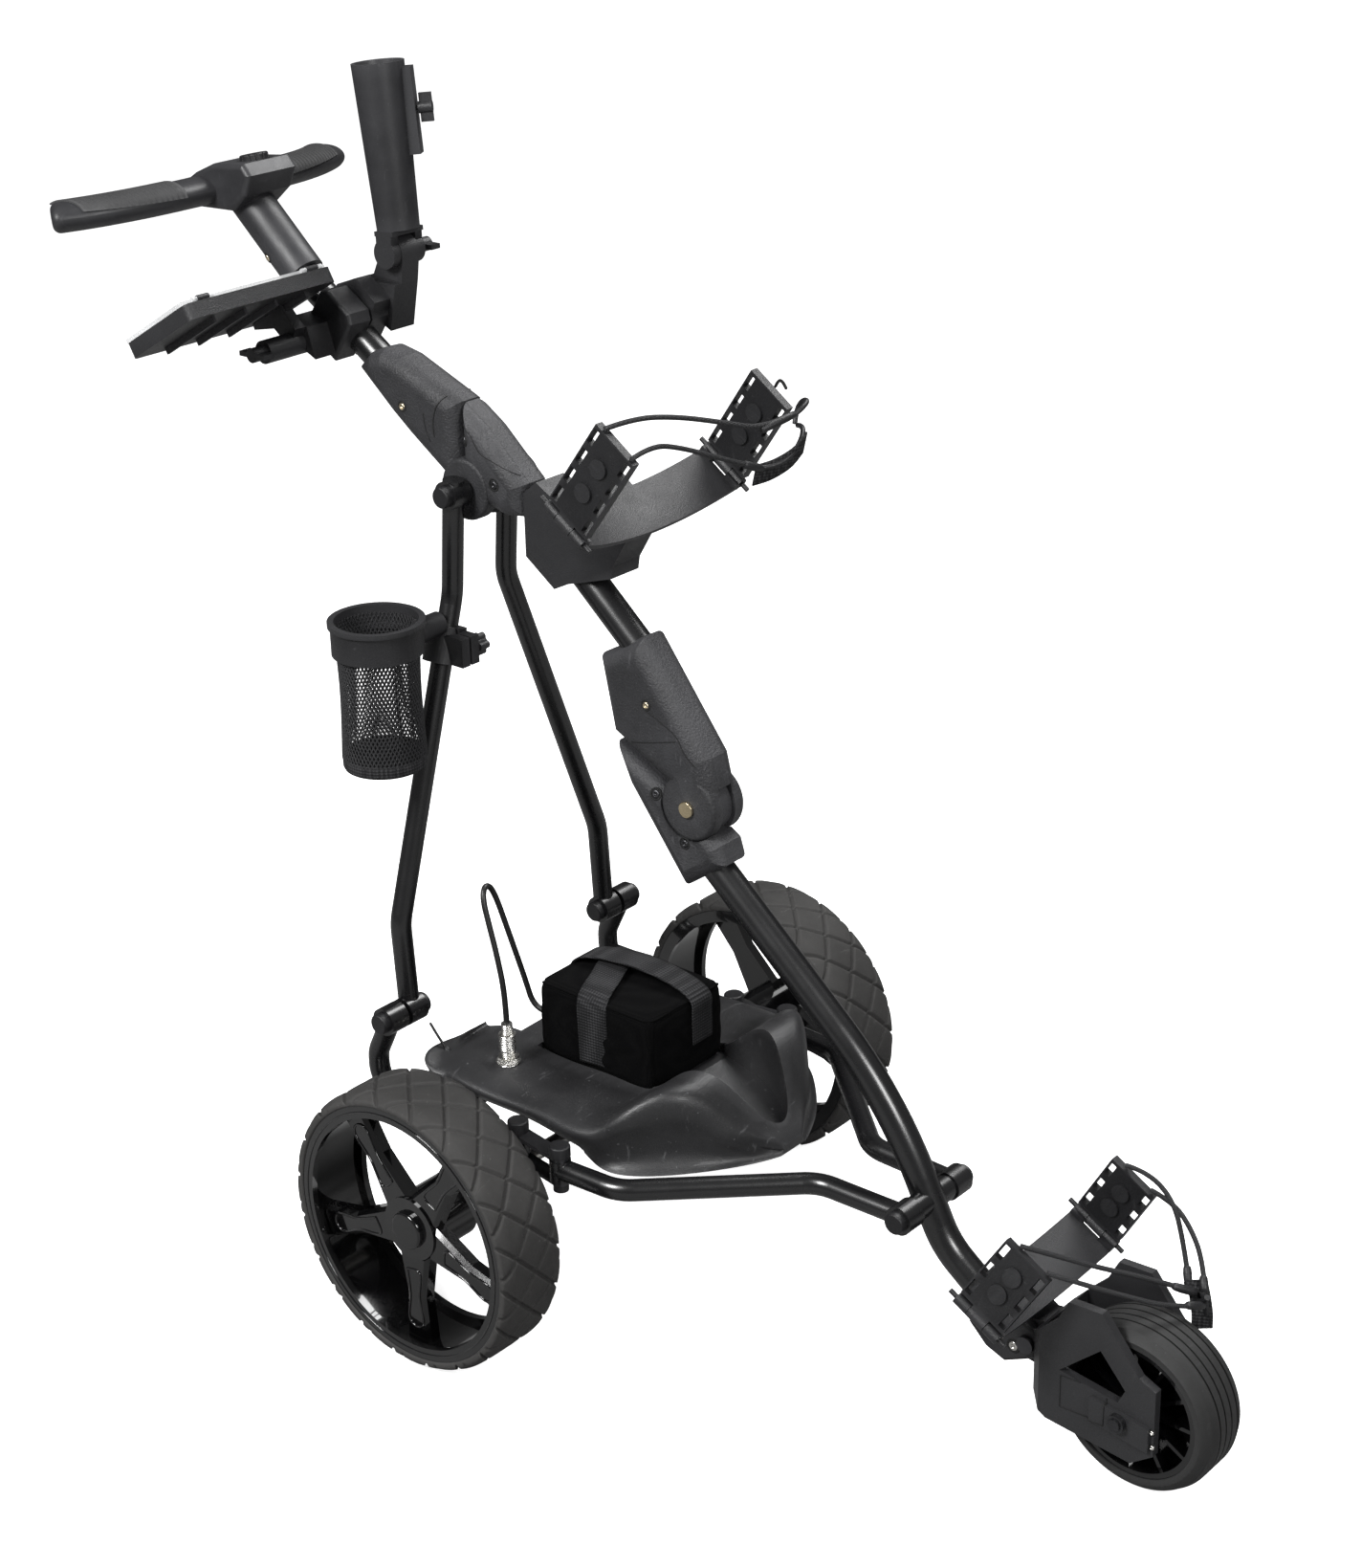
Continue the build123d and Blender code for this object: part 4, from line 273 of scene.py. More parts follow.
# The CAD nodes that take each finish.
NODE_LOOKS = {
    "moulded": "bearing_blocks gearbox_housing battery_pack drink_clamp drink_knob drink_ring front_fork "
               "fork_bracket lower_saddle lower_pad_left lower_pad_right upper_saddle upper_pad_left "
               "upper_pad_right clamp_block umbrella_swivel card_tray card_arm",
    "housing": "knee_base_shells knee_top_shells elbow_shells elbow_sleeve_shells",
    "smooth": "tee_handle umbrella_tube",
    "tray": "tray",
    "paint": "axle_frame lower_stays rear_stays lower_tube mid_tube handle_tube",
    "gloss": "rim_left rim_right hub_button_left hub_button_right front_rim",
    "front_tyre": "front_tyre",
    "cap": "chassis_bolts stay_bolts tracking_plates speed_dial umbrella_knobs",
    "dark_steel": "link_plates fork_bolts",
    "steel": "drive_axle",
    "brass": "fold_pin",
    "gear": "motor_pinion",
    "motor": "motor",
    "grip": "handle_grips",
    "knurl": "power_socket battery_plug",
    "clear": "card_lid",
}
for look, nodes in NODE_LOOKS.items():
    for node in nodes.split():
        NODES[node].data.materials.clear()
        NODES[node].data.materials.append(MATERIALS[look])


# --- mesh and curve helpers --------------------------------------------------------------------------
def added(name, data, look, body):
    """A new piece from its mesh or curve: it takes a finish and rides on a body."""
    data.materials.append(MATERIALS[look])
    made = bpy.data.objects.new(name, data)
    SCENE.collection.objects.link(made)
    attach(made, body)
    return made


def piece(name, points, faces, look, body):
    """A new smooth mesh piece from points in metres and faces."""
    data = bpy.data.meshes.new(name)
    data.from_pydata(points.tolist(), [], faces)
    data.update()
    data.polygons.foreach_set("use_smooth", [True] * len(data.polygons))
    return added(name, data, look, body)


def grid_faces(rows, cols, wrap_rows=False, wrap_cols=False):
    """Quads of a grid of points, with either direction closed on itself."""
    i, j = np.meshgrid(np.arange(rows - (not wrap_rows)), np.arange(cols - (not wrap_cols)), indexing="ij")
    here, after, beside = i * cols, (i + 1) % rows * cols, (j + 1) % cols
    return np.stack([here + j, after + j, after + beside, here + beside], -1).reshape(-1, 4)


def end_faces(rows, cols, first=True, last=True):
    """Flat faces over the first and last row of a tube of points whose quads are turned over."""
    faces = [range(cols)[::-1]] * first + [range((rows - 1) * cols, rows * cols)] * last
    return [list(face) for face in faces]


def round_lines(name, radius, fineness):
    """Empty curve data for round lines of one radius."""
    data = bpy.data.curves.new(name, "CURVE")
    data.dimensions = "3D"
    data.bevel_depth = radius / MM
    data.bevel_resolution = fineness
    return data


def lay(data, kind, route):
    """One line of a curve through or along the route's points."""
    line = data.splines.new(kind)
    line.points.add(len(route) - 1)
    line.points.foreach_set("co", np.column_stack([place(route), np.ones(len(route))]).ravel())
    return line


def cords(name, routes, radius, look, body):
    """Round cords, each a smooth line with its route's points as control points."""
    data = round_lines(name, radius, 3)
    data.resolution_u = 10
    data.use_fill_caps = True
    for route in routes:
        line = lay(data, "NURBS", route)
        line.order_u = 3
        line.use_endpoint_u = True
    return added(name, data, look, body)


def through(points, steps, with_ends):
    """Smooth line through points: on each run a cubic whose slope at a point is half of the step between that
    point's two neighbours."""
    points = np.array(points, float)
    runs = np.arange(len(points) - 1)
    p0, p1, p2, p3 = (points[np.clip(runs + k, 0, len(points) - 1)][:, None] for k in (-1, 0, 1, 2))
    t = np.linspace(0, 1, steps, endpoint=with_ends)[:, None]
    line = 0.5 * (2 * p1 + (p2 - p0) * t + (2 * p0 - 5 * p1 + 4 * p2 - p3) * t * t
                  + (3 * p1 - p0 - 3 * p2 + p3) * t ** 3)
    return line.reshape(-1, points.shape[1])


POLE = 0.01  # radius at which a turned shape meets its axis


def turned(name, centre, axis, profile, look, body, sides=28, loop=False):
    """A lathe shape: each (radius, height) of the profile becomes a circle round the axis at that height from the
    centre. The profile runs with the solid on its left, and a loop joins its end to its start."""
    axis = np.array(axis, float) / np.linalg.norm(axis)
    u = np.cross(axis, (0, 0, 1.0) if abs(axis[2]) < 0.9 else (1.0, 0, 0))
    u = u / np.linalg.norm(u)
    angles = np.linspace(0, 2 * np.pi, sides, endpoint=False)[:, None]
    ring = np.cos(angles) * u + np.sin(angles) * np.cross(axis, u)
    radius, height = np.array(profile, float).T[:, :, None, None]
    rows = place(centre) + axis * height / MM + ring * np.maximum(radius, POLE) / MM
    faces = grid_faces(len(profile), sides, loop, True)[:, ::-1].tolist()
    if not loop:
        faces += end_faces(len(profile), sides, profile[0][0] == 0, profile[-1][0] == 0)
    return piece(name, rows.reshape(-1, 3), faces, look, body)


# Shares of half the width and half the thickness round a flat strap's section.
STRAP_SECTION = np.array([
    (-1, -1), (-0.5, -1), (0, -1), (0.5, -1), (1, -1), (1, 1), (0.5, 1), (0, 1), (-0.5, 1), (-1, 1),
])
STRAP_STEPS = 8


def strap(name, path, wide, width, thick, look, body):
    """Flat webbing: a smooth line through the path carries the section, whose width lies along wide and whose
    thickness is square to it and to the line."""
    wide = np.array(wide, float) / np.linalg.norm(wide)
    spots = np.vstack([through(path, STRAP_STEPS, False), path[-1]])
    along = np.gradient(spots, axis=0)
    along /= np.linalg.norm(along, axis=1)[:, None]
    out = np.cross(along, wide)
    out /= np.linalg.norm(out, axis=1)[:, None]
    across, over = (STRAP_SECTION * (width / 2, thick / 2)).T[:, None, :, None]
    points = place(spots[:, None] + wide * across + out[:, None] * over)
    rows, cols = points.shape[:2]
    faces = grid_faces(rows, cols, False, True)[:, ::-1].tolist() + end_faces(rows, cols)
    return piece(name, points.reshape(-1, 3), faces, look, body)


OUTSIDE = 400  # from the middle plane, beyond everything


def touch(nodes, x, z, side):
    """Where a line from outside, square to the middle plane, first meets the nodes: its point and the normal
    there, or nothing where it misses them."""
    start = Vector(place((x, side * OUTSIDE, z)))
    met = [NODES[node].ray_cast(start, Vector((0, -side, 0))) for node in nodes]
    met = [(spot, normal) for hit, spot, normal, _ in met if hit]
    if not met:
        return None
    spot, normal = max(met, key=lambda pair: side * pair[0].y)
    return np.array(spot) * MM + (MIDDLE_X, 0, 0), np.array(normal)


def screw(name, nodes, x, z, side, radius, look, body):
    """Domed screw head with a recess, in a dark ring, both seated on the nodes' surface."""
    centre, normal = touch(nodes, x, z, side)
    turned(name + "_seat", centre, normal, [
        (radius * 1.6, -1.5), (radius * 1.6, 0.0), (radius * 1.5, 0.35), (radius * 1.15, 0.25),
        (radius * 1.15, -1.5),
    ], "groove", body)
    turned(name, centre, normal, [
        (radius, -1.0), (radius, 0.6), (radius * 0.86, 1.3), (radius * 0.52, 1.5), (radius * 0.46, 1.4),
        (radius * 0.42, 0.2), (0, 0.1),
    ], look, body)


SEAM_STEPS = 10
SEAM_PROUD = 0.15  # how far a seam's middle stands off the surface


def seam(name, nodes, corners, side, radius, look, body):
    """A moulded line that follows the surface: a smooth line through the (x, z) corners, laid onto the nodes from
    outside. Points that miss the nodes are left out."""
    met = [touch(nodes, x, z, side) for x, z in through(corners, SEAM_STEPS, True)]
    data = round_lines(name, radius, 1)
    lay(data, "POLY", [spot + normal * SEAM_PROUD for spot, normal in filter(None, met)])
    added(name, data, look, body)


# --- cords -----------------------------------------------------------------------------------------
LEAD_RADIUS, ELASTIC_RADIUS = 3.2, 2.5


def make_cords():
    lead = cords("battery_cable", [[
        (-42, -104, 277.3), (-42, -104, 317), (-53, -102, 359), (-65, -100, 393), (-73, -98, 414),
        (-78, -91, 425), (-80, -81, 423), (-77, -75, 408), (-72, -70, 382), (-65, -63, 345),
        (-60, -55, 309), (-57, -48, 277), (-42, -48, 276),
    ]], LEAD_RADIUS, "lead", "battery")
    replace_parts(lead, "battery_lead")
    upper = cords("upper_elastics", [
        [(130.8, -114, 954.2), (138, -82, 958), (150, -38, 951), (163, 12, 936), (176, 56, 921), (186, 92, 929)],
        [(162, -114, 931.4), (160, -84, 937), (161, -44, 925), (167, 6, 903), (177, 54, 883)],
    ], ELASTIC_RADIUS, "elastic", "upper")
    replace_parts(upper, "upper_bungees")
    lower = cords("lower_elastics", [
        [(575.3, -74.2, 249.7), (602, -46, 234), (628, -19, 219), (658, 12, 205), (686, 44, 186)],
        [(604.7, -74.2, 232.7), (636, -52, 220), (659, -27, 206), (684, 2, 190), (700, 34, 180)],
        [(578.2, 100.2, 252.7), (606, 95, 258), (638, 88, 243), (657, 77, 212), (673, 62, 185)],
        [(606.8, 100.2, 236.2), (638, 90, 239), (662, 82, 224), (682, 70, 206), (694, 56, 188)],
    ], ELASTIC_RADIUS, "elastic", "lower")
    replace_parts(lower, "lower_bungees")


# --- wheels ----------------------------------------------------------------------------------------
WHEEL_RADIUS, WHEEL_Y = 150.0, 273
TYRE_HALF, TYRE_FLAT_HALF, SHOULDER_DROP = 40.0, 24, 5.5
TYRE_INNER = ((139.5, TYRE_HALF), (138.3, 39.0), (138.3, -39.0), (139.5, -TYRE_HALF))  # (radius, y) round the bore
TREAD_CELLS_ROUND, TREAD_CELLS_ACROSS = 1080, 46
BLOCKS_ROUND, GROOVE_PITCH, BLOCK_SPAN = 19, 46, 34.0
GROOVE_HALF, GROOVE_SLOPE, GROOVE_DEPTH = 0.9, 1.1, 3.2
CROWN_RISE, CROWN_RUN = 0.5, 8
SPOKES, SPOKE_START = 5, 18  # count, and degrees of the first one below the level line
SPOKE_PANEL = [(50, -9), (80, -6.5), (108, -10), (116, 0), (108, 10), (80, 6.5), (50, 9), (50, -9)]
LIP_RADIUS, LIP_BEAD, SPOKE_BEAD = 131.5, 0.9, 1.3


def rear_tyre(side):
    """Rubber band round the rim. Its radius at an angle and a distance across is the wheel's, less a rounded
    shoulder, less a groove wherever the angle plus or minus the distance comes round to a whole block, plus a
    slight crown that grows with the distance from the nearest groove."""
    word = SIDE_WORDS[side]
    angle = np.linspace(0, 2 * np.pi, TREAD_CELLS_ROUND, endpoint=False)
    share = np.linspace(-1, 1, TREAD_CELLS_ACROSS)
    across = TYRE_HALF * np.sign(share) * (1 - (1 - np.abs(share)) ** 1.15)
    shoulder = np.clip((np.abs(across) - TYRE_FLAT_HALF) / (TYRE_HALF - TYRE_FLAT_HALF), 0, 1)
    plain = WHEEL_RADIUS - SHOULDER_DROP * shoulder ** 2.4
    a, w = np.meshgrid(angle, across, indexing="ij")
    block = a * BLOCKS_ROUND / (2 * np.pi)
    one_way = np.abs((block + w / GROOVE_PITCH + 0.5) % 1 - 0.5)
    other_way = np.abs((block - w / GROOVE_PITCH + 0.5) % 1 - 0.5)
    near = np.minimum(one_way, other_way) * BLOCK_SPAN
    groove = 1 - np.clip((near - GROOVE_HALF) / GROOVE_SLOPE, 0, 1)
    crown = CROWN_RISE * np.clip(near / CROWN_RUN, 0, 1)
    radius = plain - GROOVE_DEPTH * groove + crown * (1 - groove) - CROWN_RISE
    tread = np.stack([radius * np.cos(a), w, radius * np.sin(a)], -1)
    radius, w = np.array(TYRE_INNER).T
    a = angle[:, None]
    bore = np.stack([radius * np.cos(a), w + 0 * a, radius * np.sin(a)], -1)
    grid = np.concatenate([tread, bore], 1) + (0, side * WHEEL_Y, WHEEL_RADIUS)
    faces = grid_faces(*grid.shape[:2], True, True)[:, ::-1].tolist()
    made = piece("tread_" + word, place(grid.reshape(-1, 3)), faces, "tyre", "drive")
    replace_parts(made, "tyre_" + word)


def rim_beads(side):
    """A raised bead round the sunk panel on each spoke's outer face, and one round the rim's lip."""
    word = SIDE_WORDS[side]
    out, over = np.array(SPOKE_PANEL, float).T
    for index in range(SPOKES):
        turn = -math.radians(SPOKE_START + 360 / SPOKES * index)
        corners = np.stack([
            out * math.cos(turn) - over * math.sin(turn),
            WHEEL_RADIUS + out * math.sin(turn) + over * math.cos(turn),
        ], -1)
        seam("spoke_bead_%s_%d" % (word, index), ("rim_" + word,), corners, side, SPOKE_BEAD, "gloss", "drive")
    angles = np.linspace(0, 2 * np.pi, 25)
    ring = np.stack([LIP_RADIUS * np.cos(angles), WHEEL_RADIUS + LIP_RADIUS * np.sin(angles)], -1)
    seam("lip_bead_" + word, ("rim_" + word,), ring, side, LIP_BEAD, "gloss", "drive")


# --- battery bag -------------------------------------------------------------------------------------
BAG_SLACK, BAG_EDGE, BAG_CROWN, BAG_CREASE = 1.0, 9.0, 2.6, 0.8
BAG_CELLS, BAG_SEED = 22, 4
PIPING_IN, PIPING_DOWN, PIPING_CORNER, PIPING_RADIUS = 2.4, 3.2, 11, 1.3
WEBBING_THICK, NEAR_STRAP_WIDE, FAR_STRAP_WIDE = 1.8, 36, 30


def cube_cells(cells):
    """A cube from -1 to 1 with a grid of square cells on each side, and its faces turned outwards."""
    t = np.linspace(-1, 1, cells + 1)
    a, b = (grid.ravel() for grid in np.meshgrid(t, t, indexing="ij"))
    quads = grid_faces(cells + 1, cells + 1)
    sides, faces = [], []
    for axis in range(3):
        for sign in (-1, 1):
            faces.append(quads[:, ::sign] + len(sides) * len(a))
            sides.append(np.roll(np.stack([sign + 0 * a, a, b], -1), axis, axis=1))
    points = np.concatenate(sides)
    _, first, index = np.unique(points.round(5) + 0.0, axis=0, return_index=True, return_inverse=True)
    return points[first], index.reshape(-1)[np.concatenate(faces)]


def soft_box(low, high):
    """Closed soft box: a cube's points are drawn in to rounded edges, then pushed out along the surface by a
    crown, the product of cosines, highest in each side's middle, and by sine waves for shallow creases."""
    cube, faces = cube_cells(BAG_CELLS)
    half, centre = (high - low) / 2, (high + low) / 2
    points = cube * half
    core = np.clip(points, BAG_EDGE - half, half - BAG_EDGE)
    normal = points - core
    normal = normal / np.maximum(np.linalg.norm(normal, axis=1, keepdims=True), 1e-9)
    x, y, z = cube.T
    crown = np.prod(np.where(np.abs(cube) > 0.999, 1.0, np.cos(np.pi / 2 * cube * 0.98)), axis=1)
    phase = np.random.default_rng(BAG_SEED).uniform(0, 6.28, 6)
    crease = (np.sin(x * 5 + z * 3 + phase[0]) * np.sin(y * 4 + phase[1])
              + 0.5 * np.sin(z * 9 + y * 5 + phase[2]))
    rise = crown * (BAG_CROWN + BAG_CREASE * crease)
    return core + normal * (BAG_EDGE + rise)[:, None] + centre, faces


def battery_bag():
    low, high = (np.array(corner) * MM + (MIDDLE_X, 0, 0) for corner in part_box("battery_bag"))
    points, faces = soft_box(low + BAG_SLACK, high - BAG_SLACK)
    bag = piece("soft_bag", place(points), faces.tolist(), "fabric", "battery")
    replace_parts(bag, "battery_bag")
    quarter = np.repeat(np.arange(4), 4)
    turn = np.radians(90 * quarter + np.tile((0, 30, 60, 90), 4))
    corner = np.array([(1, 1), (-1, 1), (-1, -1), (1, -1)])[quarter]
    ring = (high + low)[:2] / 2 + corner * ((high - low)[:2] / 2 - PIPING_IN - PIPING_CORNER)
    ring = ring + PIPING_CORNER * np.stack([np.cos(turn), np.sin(turn)], -1)
    ring = np.column_stack([ring, np.full(len(ring), high[2] - PIPING_DOWN)])
    cords("bag_piping", [np.vstack([ring, ring[:1]])], PIPING_RADIUS, "fabric", "battery")
    (x0, y0, z0), (x1, y1, z1) = low + (0, 0, 4), high
    near = strap("bag_strap_near", [
        (38, y0 - 1.2, z0 + 8), (38, y0 - 2.4, z0 + 50), (37, y0 - 1.6, z1 - 6), (33, y0 + 10, z1 + 4),
        (24, y0 + 34, z1 + 7), (12, y0 + 60, z1 + 8), (4, y0 + 84, z1 + 6), (0, y1 - 14, z1 + 3),
        (0, y1 + 1.2, z1 - 8), (0, y1 + 2.0, z0 + 40),
    ], (1, 0.12, 0), NEAR_STRAP_WIDE, WEBBING_THICK, "webbing", "battery")
    far = strap("bag_strap_far", [
        (x0 - 1.6, 8, z0 + 44), (x0 - 1.0, 8, z1 - 8), (x0 + 12, 9, z1 + 7), (x0 + 44, 12, z1 + 14),
        (x0 + 84, 15, z1 + 16), (x0 + 118, 18, z1 + 12), (x1 - 9, 19, z1 + 5), (x1 + 2.6, 20, z1 - 5),
        (x1 + 3.0, 20, z1 - 22), (x1 + 2.8, 20, z0 + 30),
    ], (0, 1, 0), FAR_STRAP_WIDE, WEBBING_THICK, "webbing", "battery")
    for band, rise in ((near, 8), (far, 16)):
        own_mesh(band)


# --- drink holder net ------------------------------------------------------------------------------
CUP_X, CUP_Y, CUP_RADIUS, CUP_LOW, CUP_HIGH = -143.0, -155.0, 42.0, 566.0, 714.0
NET_THREADS, NET_STEPS, NET_TURN, NET_THREAD_RADIUS = 62, 26, 0.28, 0.9
NET_WAIST, NET_LAYER, NET_FOOT = 2.2, 0.4, 12


def drink_net():
    """Knotted tube: two families of threads climb the cup, slanting either way by a share of a full turn, and bow
    inwards by half a sine wave. It has a woven foot and a hem at the top."""
    data = round_lines("net_threads", NET_THREAD_RADIUS, 0)
    data.resolution_u = 1
    share = np.linspace(0, 1, NET_STEPS)
    height = CUP_LOW + NET_FOOT + (CUP_HIGH - CUP_LOW - NET_FOOT) * share
    for way, layer in ((1, NET_LAYER), (-1, 0)):
        radius = CUP_RADIUS - NET_WAIST * np.sin(np.pi * share) - layer
        for thread in range(NET_THREADS):
            angle = 2 * np.pi * (thread / NET_THREADS + way * NET_TURN * share)
            route = np.stack([CUP_X + radius * np.cos(angle), CUP_Y + radius * np.sin(angle), height], -1)
            lay(data, "POLY", route)
    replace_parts(added("net_threads", data, "net", "cup"), "drink_net")
    turned("net_foot", (CUP_X, CUP_Y, CUP_LOW), (0, 0, 1), [
        (0, 1.5), (30, 1.2), (38, 0.6), (41, 1.4), (42.2, 4), (42.4, 14), (41.6, 15), (40.8, 14), (40.2, 5),
        (37, 3), (0, 2.8),
    ], "webbing", "cup", sides=56)
    turned("net_hem", (CUP_X, CUP_Y, CUP_HIGH - 12), (0, 0, 1), [
        (41.2, -10), (42.6, -10), (42.9, -4), (42.8, 2), (41.4, 2),
    ], "webbing", "cup", sides=56, loop=True)


# --- small fittings ----------------------------------------------------------------------------------
TAB_THICK = 2.0


def ferrule(name, root, tip, body):
    """Moulded end of an elastic, swelling from its root and tapering to its tip."""
    axis = np.subtract(tip, root)
    size = np.linalg.norm(axis)
    turned(name + "_ferrule", root, axis, [
        (0, -2), (3.2, -2), (3.9, 0), (4.3, size * 0.3), (4.0, size * 0.75), (3.0, size), (0, size + 0.5),
    ], "cap", body, sides=20)


def cradle_fittings():
    """Ferrules, hooks, loops and webbing tabs at the far ends of the cradles' elastics."""
    ferrule("upper_end_one", (176, 56, 921), (186, 92, 929), "upper")
    ferrule("upper_end_two", (172, 34, 891), (177, 54, 883), "upper")
    cords("upper_hook", [
        [(186, 90, 928), (190, 100, 934), (186, 112, 938), (174, 118, 934), (166, 119, 922), (170, 112, 912)],
        [(177, 54, 884), (184, 66, 884), (190, 84, 892), (189, 100, 905), (180, 112, 912), (168, 119, 908)],
    ], 2.6, "cap", "upper")
    strap("upper_tab", [(170, 50, 876), (180, 66, 880), (189, 84, 889), (193, 98, 901)], (0.25, 0, 1), 22,
          TAB_THICK, "webbing", "upper")
    cords("pad_loop", [[(150, 108, 946), (160, 100, 956), (172, 92, 958), (182, 84, 955)]], 1.6, "lead", "upper")
    for number, (root, tip) in enumerate((
        ((676, 33, 192), (690, 48, 183)), ((695, 26, 183), (702, 42, 177)),
        ((669, 66, 192), (675, 59, 180)), ((690, 60, 193), (696, 53, 184)),
    )):
        ferrule("lower_end_%d" % number, root, tip, "lower")
    strap("lower_tab", [(684, 58, 190), (691, 54, 176), (696, 51, 160), (697, 50, 146)], (0.8, 0.5, 0.1), 20,
          TAB_THICK, "webbing", "lower")
    cords("lower_hook", [
        [(672, 60, 182), (680, 56, 174), (690, 52, 172), (700, 48, 178), (704, 44, 186)],
        [(694, 52, 184), (700, 52, 170), (698, 54, 156), (690, 56, 150)],
    ], 2.8, "cap", "lower")


ELBOW, SLEEVE, NECK = ("elbow_shells",), ("elbow_sleeve_shells",), ("tee_handle", "handle_tube")
KNEE, BASE, FORK = ("knee_top_shells",), ("knee_base_shells",), ("front_fork", "tracking_plates")
# Name, nodes it sits on, x, z, head radius, finish and body of each screw.
SCREWS = (
    ("elbow_screw_a", ELBOW, -143, 871, 4.4, "dark_steel", "upper"),
    ("elbow_screw_b", ELBOW, -102, 833, 4.4, "dark_steel", "upper"),
    ("sleeve_screw", SLEEVE, -226, 892, 3.8, "brass", "handle"),
    ("knee_top_screw", KNEE, 91, 646, 3.8, "brass", "upper"),
    ("knee_base_screw_a", BASE, 100, 554, 4.2, "dark_steel", "lower"),
    ("knee_base_screw_b", BASE, 137, 511, 4.2, "dark_steel", "lower"),
    ("neck_screw", NECK, -417, 1016, 3.8, "brass", "handle"),
    ("fork_screw_a", FORK, 706, 88, 2.4, "steel", "lower"),
    ("fork_screw_b", FORK, 707, 72, 2.4, "steel", "lower"),
    ("fork_nut", ("fork_bracket", "fork_bolts"), 539, 99, 5.0, "steel", "lower"),
)
# Name, nodes it follows, (x, z) corners, radius and body of each parting line.
SEAM_RADIUS = 0.5
SEAMS = (
    ("elbow_seam", ELBOW, [(-168, 873), (-150, 886), (-133, 879), (-120, 863), (-103, 856), (-76, 845)],
     SEAM_RADIUS, "upper"),
    ("sleeve_seam", SLEEVE, [(-152, 925), (-173, 906), (-182, 886), (-182, 868)], 0.6, "handle"),
    ("sleeve_rib", SLEEVE, [(-196, 890), (-194, 876), (-188, 862)], SEAM_RADIUS, "handle"),
    ("knee_seam", KNEE, [(91, 640), (106, 634), (128, 623), (139, 607), (152, 596)], SEAM_RADIUS, "upper"),
    ("knee_band", KNEE, [(70, 602), (96, 608), (128, 617)], SEAM_RADIUS, "upper"),
    ("knee_slash", BASE + KNEE, [(66, 589), (80, 586), (95, 586)], SEAM_RADIUS, "lower"),
)
FORK_PANEL = np.array([(606, 107), (657, 111), (656, 75), (606, 72), (606, 107)])


def housing_details():
    """Screws and parting lines on both faces of the elbow, knee and fork, and at the grip bar's neck."""
    for side in (-1, 1):
        word = SIDE_WORDS[side]
        for name, nodes, x, z, radius, look, body in SCREWS:
            screw(name + "_" + word, nodes, x, z, side, radius, look, body)
        for name, nodes, corners, radius, body in SEAMS:
            seam(name + "_" + word, nodes, corners, side, radius, "groove", body)
        for number, (start, end) in enumerate(zip(FORK_PANEL, FORK_PANEL[1:])):
            edge = [start, (start + end) / 2, end]
            seam("fork_panel_%s_%d" % (word, number), FORK, edge, side, SEAM_RADIUS, "groove", "lower")


def tray_details():
    """Short flexible aerial standing on the tray's rear corner."""
    cords("aerial", [[(-110, -125, 238), (-116, -126, 246), (-124, -127, 256), (-131, -128, 266)]], 1.5, "lead",
          "chassis")
    turned("aerial_foot", (-110, -125, 237), (-0.4, 0, 1), [(0, 0), (4, 0), (4.2, 2), (2.4, 6), (0, 7)], "cap",
           "chassis")


make_camera()
make_cords()
bpy.context.view_layer.update()
rear_tyre(1)
rear_tyre(-1)
rim_beads(1)
rim_beads(-1)
battery_bag()
drink_net()
cradle_fittings()
housing_details()
tray_details()


# --- floor, backdrop and light, in metres ----------------------------------------------------------------
FLOOR_HALF, FLOOR_NEAR, FLOOR_FAR, SWEEP_RADIUS, BACKDROP_TOP, SWEEP_CELLS = 14.0, -9.0, 5.0, 3.0, 12.0, 24
FLOOR_GLOW, FLOOR_BOUNCE = 0.8, 0.22  # light the camera sees in the floor, and grey that the object sees
SKY_LIGHT, SKY_GLOW = 0.18, 0.84  # on the object, and what the camera sees on top of it
LIGHT_AIM = Vector((0, 0, 0.5))
LIGHTS = (  # name, place, width, watts
    ("key", (-0.6, -3.0, 3.2), 1.3, 190),
    ("fill", (3.2, -1.2, 2.4), 1.1, 75),
    ("top", (0.2, 1.8, 3.6), 1.8, 120),
)


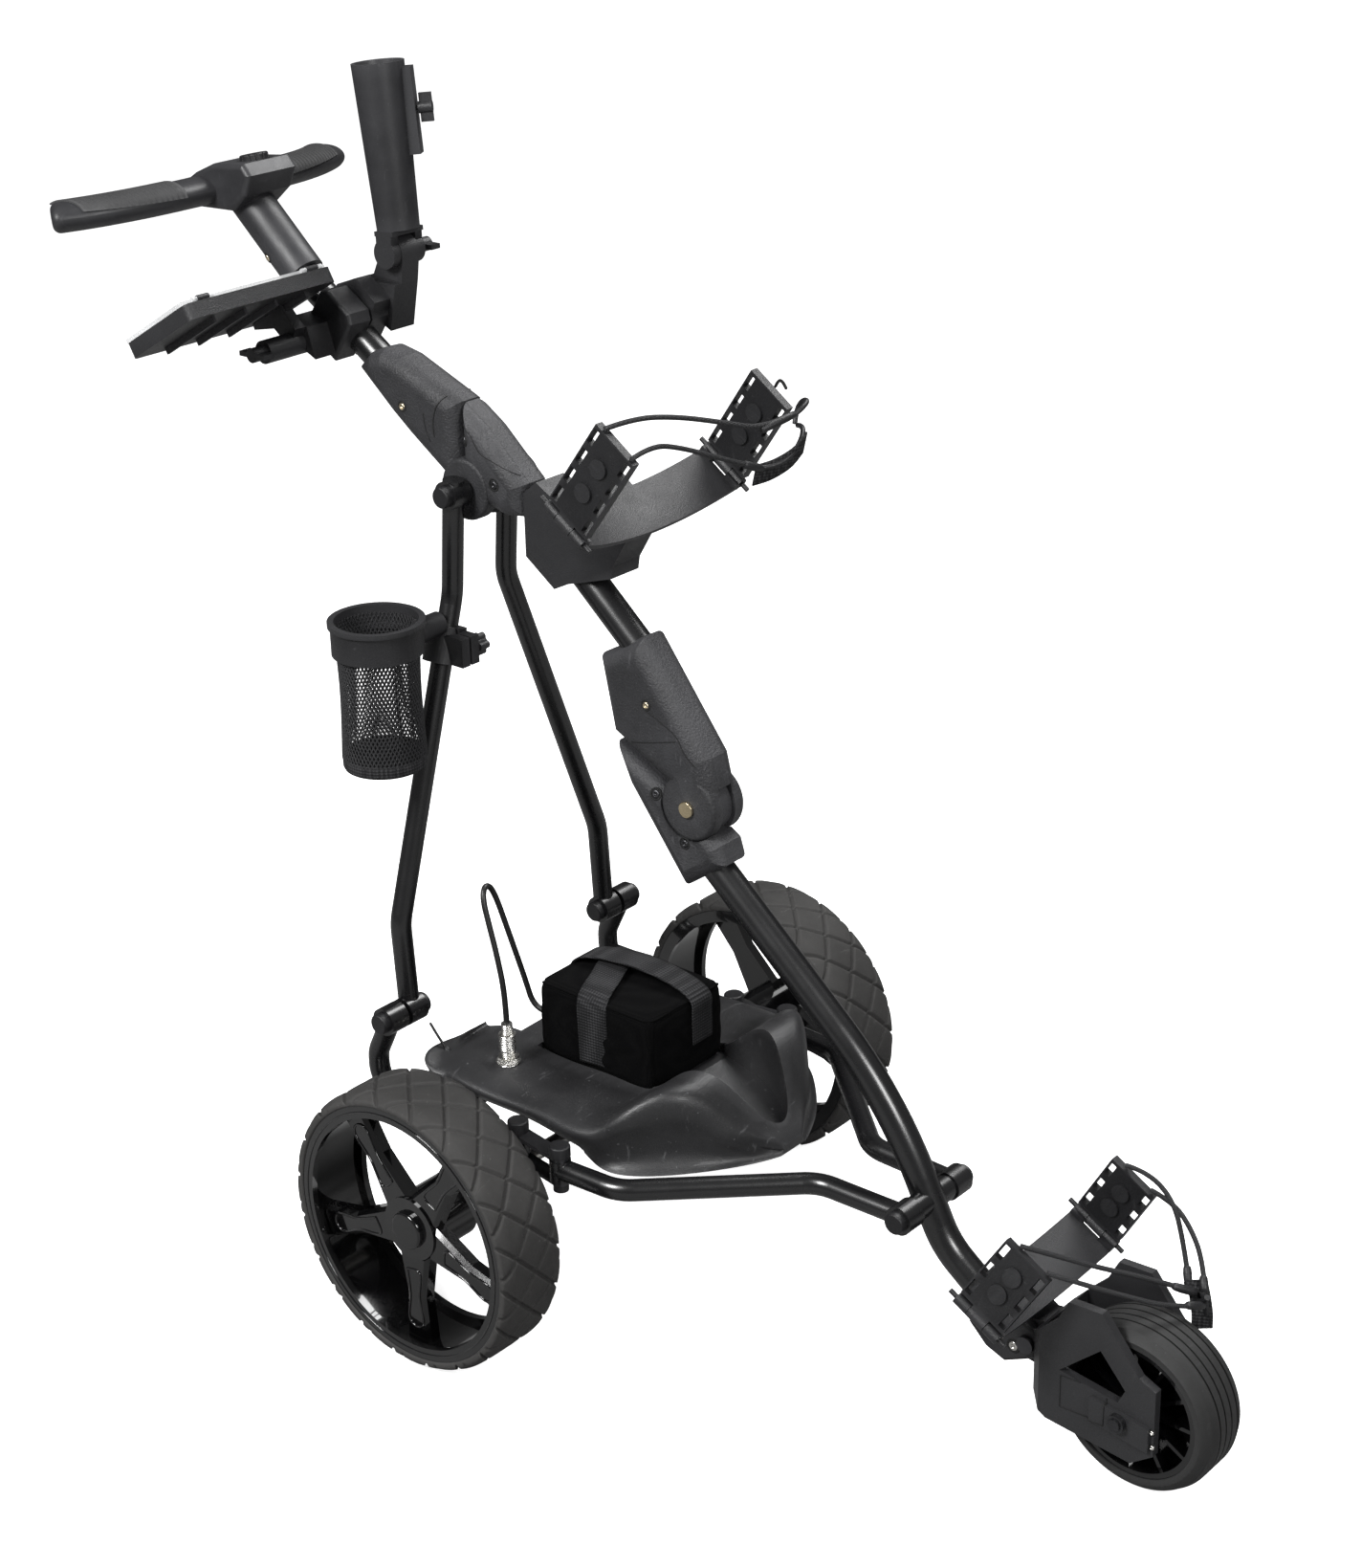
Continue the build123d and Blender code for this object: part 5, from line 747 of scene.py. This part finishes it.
def make_floor():
    """A floor that sweeps up through a quarter circle into a backdrop, turned to face the camera."""
    pale = bpy.data.materials.new("studio_floor")
    pale.use_nodes = True
    tree = pale.node_tree
    shader = tree.nodes["Principled BSDF"].inputs
    where = node_of(tree, "TexCoord").outputs["Object"]
    tone = ramp(tree, noise(tree, where, 2.0), 0.3, 0.7, grey(0.93), grey(0.96))
    seen = node_of(tree, "LightPath").outputs["Is Camera Ray"]
    dim = node_of(tree, "RGB").outputs[0]
    dim.default_value = (*grey(FLOOR_BOUNCE), 1)
    tree.links.new(mixed(tree, seen, dim, tone), shader["Base Color"])
    tree.links.new(sum_or_product(tree, "MULTIPLY", seen, FLOOR_GLOW), shader["Emission Strength"])
    shader["Emission Color"].default_value = (*grey(1), 1)
    shader["Roughness"].default_value = 0.9
    arc = np.linspace(0, np.pi / 2, SWEEP_CELLS)
    y = np.concatenate([[FLOOR_NEAR], FLOOR_FAR + SWEEP_RADIUS * np.sin(arc), [FLOOR_FAR + SWEEP_RADIUS]])
    z = np.concatenate([[0.0], SWEEP_RADIUS * (1 - np.cos(arc)), [BACKDROP_TOP]])
    x, y = np.meshgrid((-FLOOR_HALF, FLOOR_HALF), y)
    points = np.stack([x, y, np.repeat(z[:, None], 2, axis=1)], -1).reshape(-1, 3)
    data = bpy.data.meshes.new("studio_floor")
    data.from_pydata(points.tolist(), [], grid_faces(len(z), 2)[:, ::-1].tolist())
    data.materials.append(pale)
    floor = bpy.data.objects.new("studio_floor", data)
    SCENE.collection.objects.link(floor)
    floor.rotation_euler = (0, 0, math.radians(CAMERA_AZIMUTH))


def make_lights():
    """An even world that the camera sees as white, and three soft lamps aimed at the object."""
    world = bpy.data.worlds.new("studio")
    world.use_nodes = True
    tree = world.node_tree
    sky = tree.nodes["Background"].inputs
    sky["Color"].default_value = (*grey(1), 1)
    glow = sum_or_product(tree, "MULTIPLY", node_of(tree, "LightPath").outputs["Is Camera Ray"], SKY_GLOW)
    tree.links.new(sum_or_product(tree, "ADD", glow, SKY_LIGHT), sky["Strength"])
    SCENE.world = world
    for name, spot, size, power in LIGHTS:
        lamp = bpy.data.lights.new(name, "AREA")
        lamp.size = size
        lamp.energy = power
        made = bpy.data.objects.new(name, lamp)
        made.location = spot
        made.rotation_euler = (LIGHT_AIM - Vector(spot)).to_track_quat("-Z", "Y").to_euler()
        SCENE.collection.objects.link(made)


make_floor()
make_lights()
SCENE.view_settings.view_transform = "Standard"
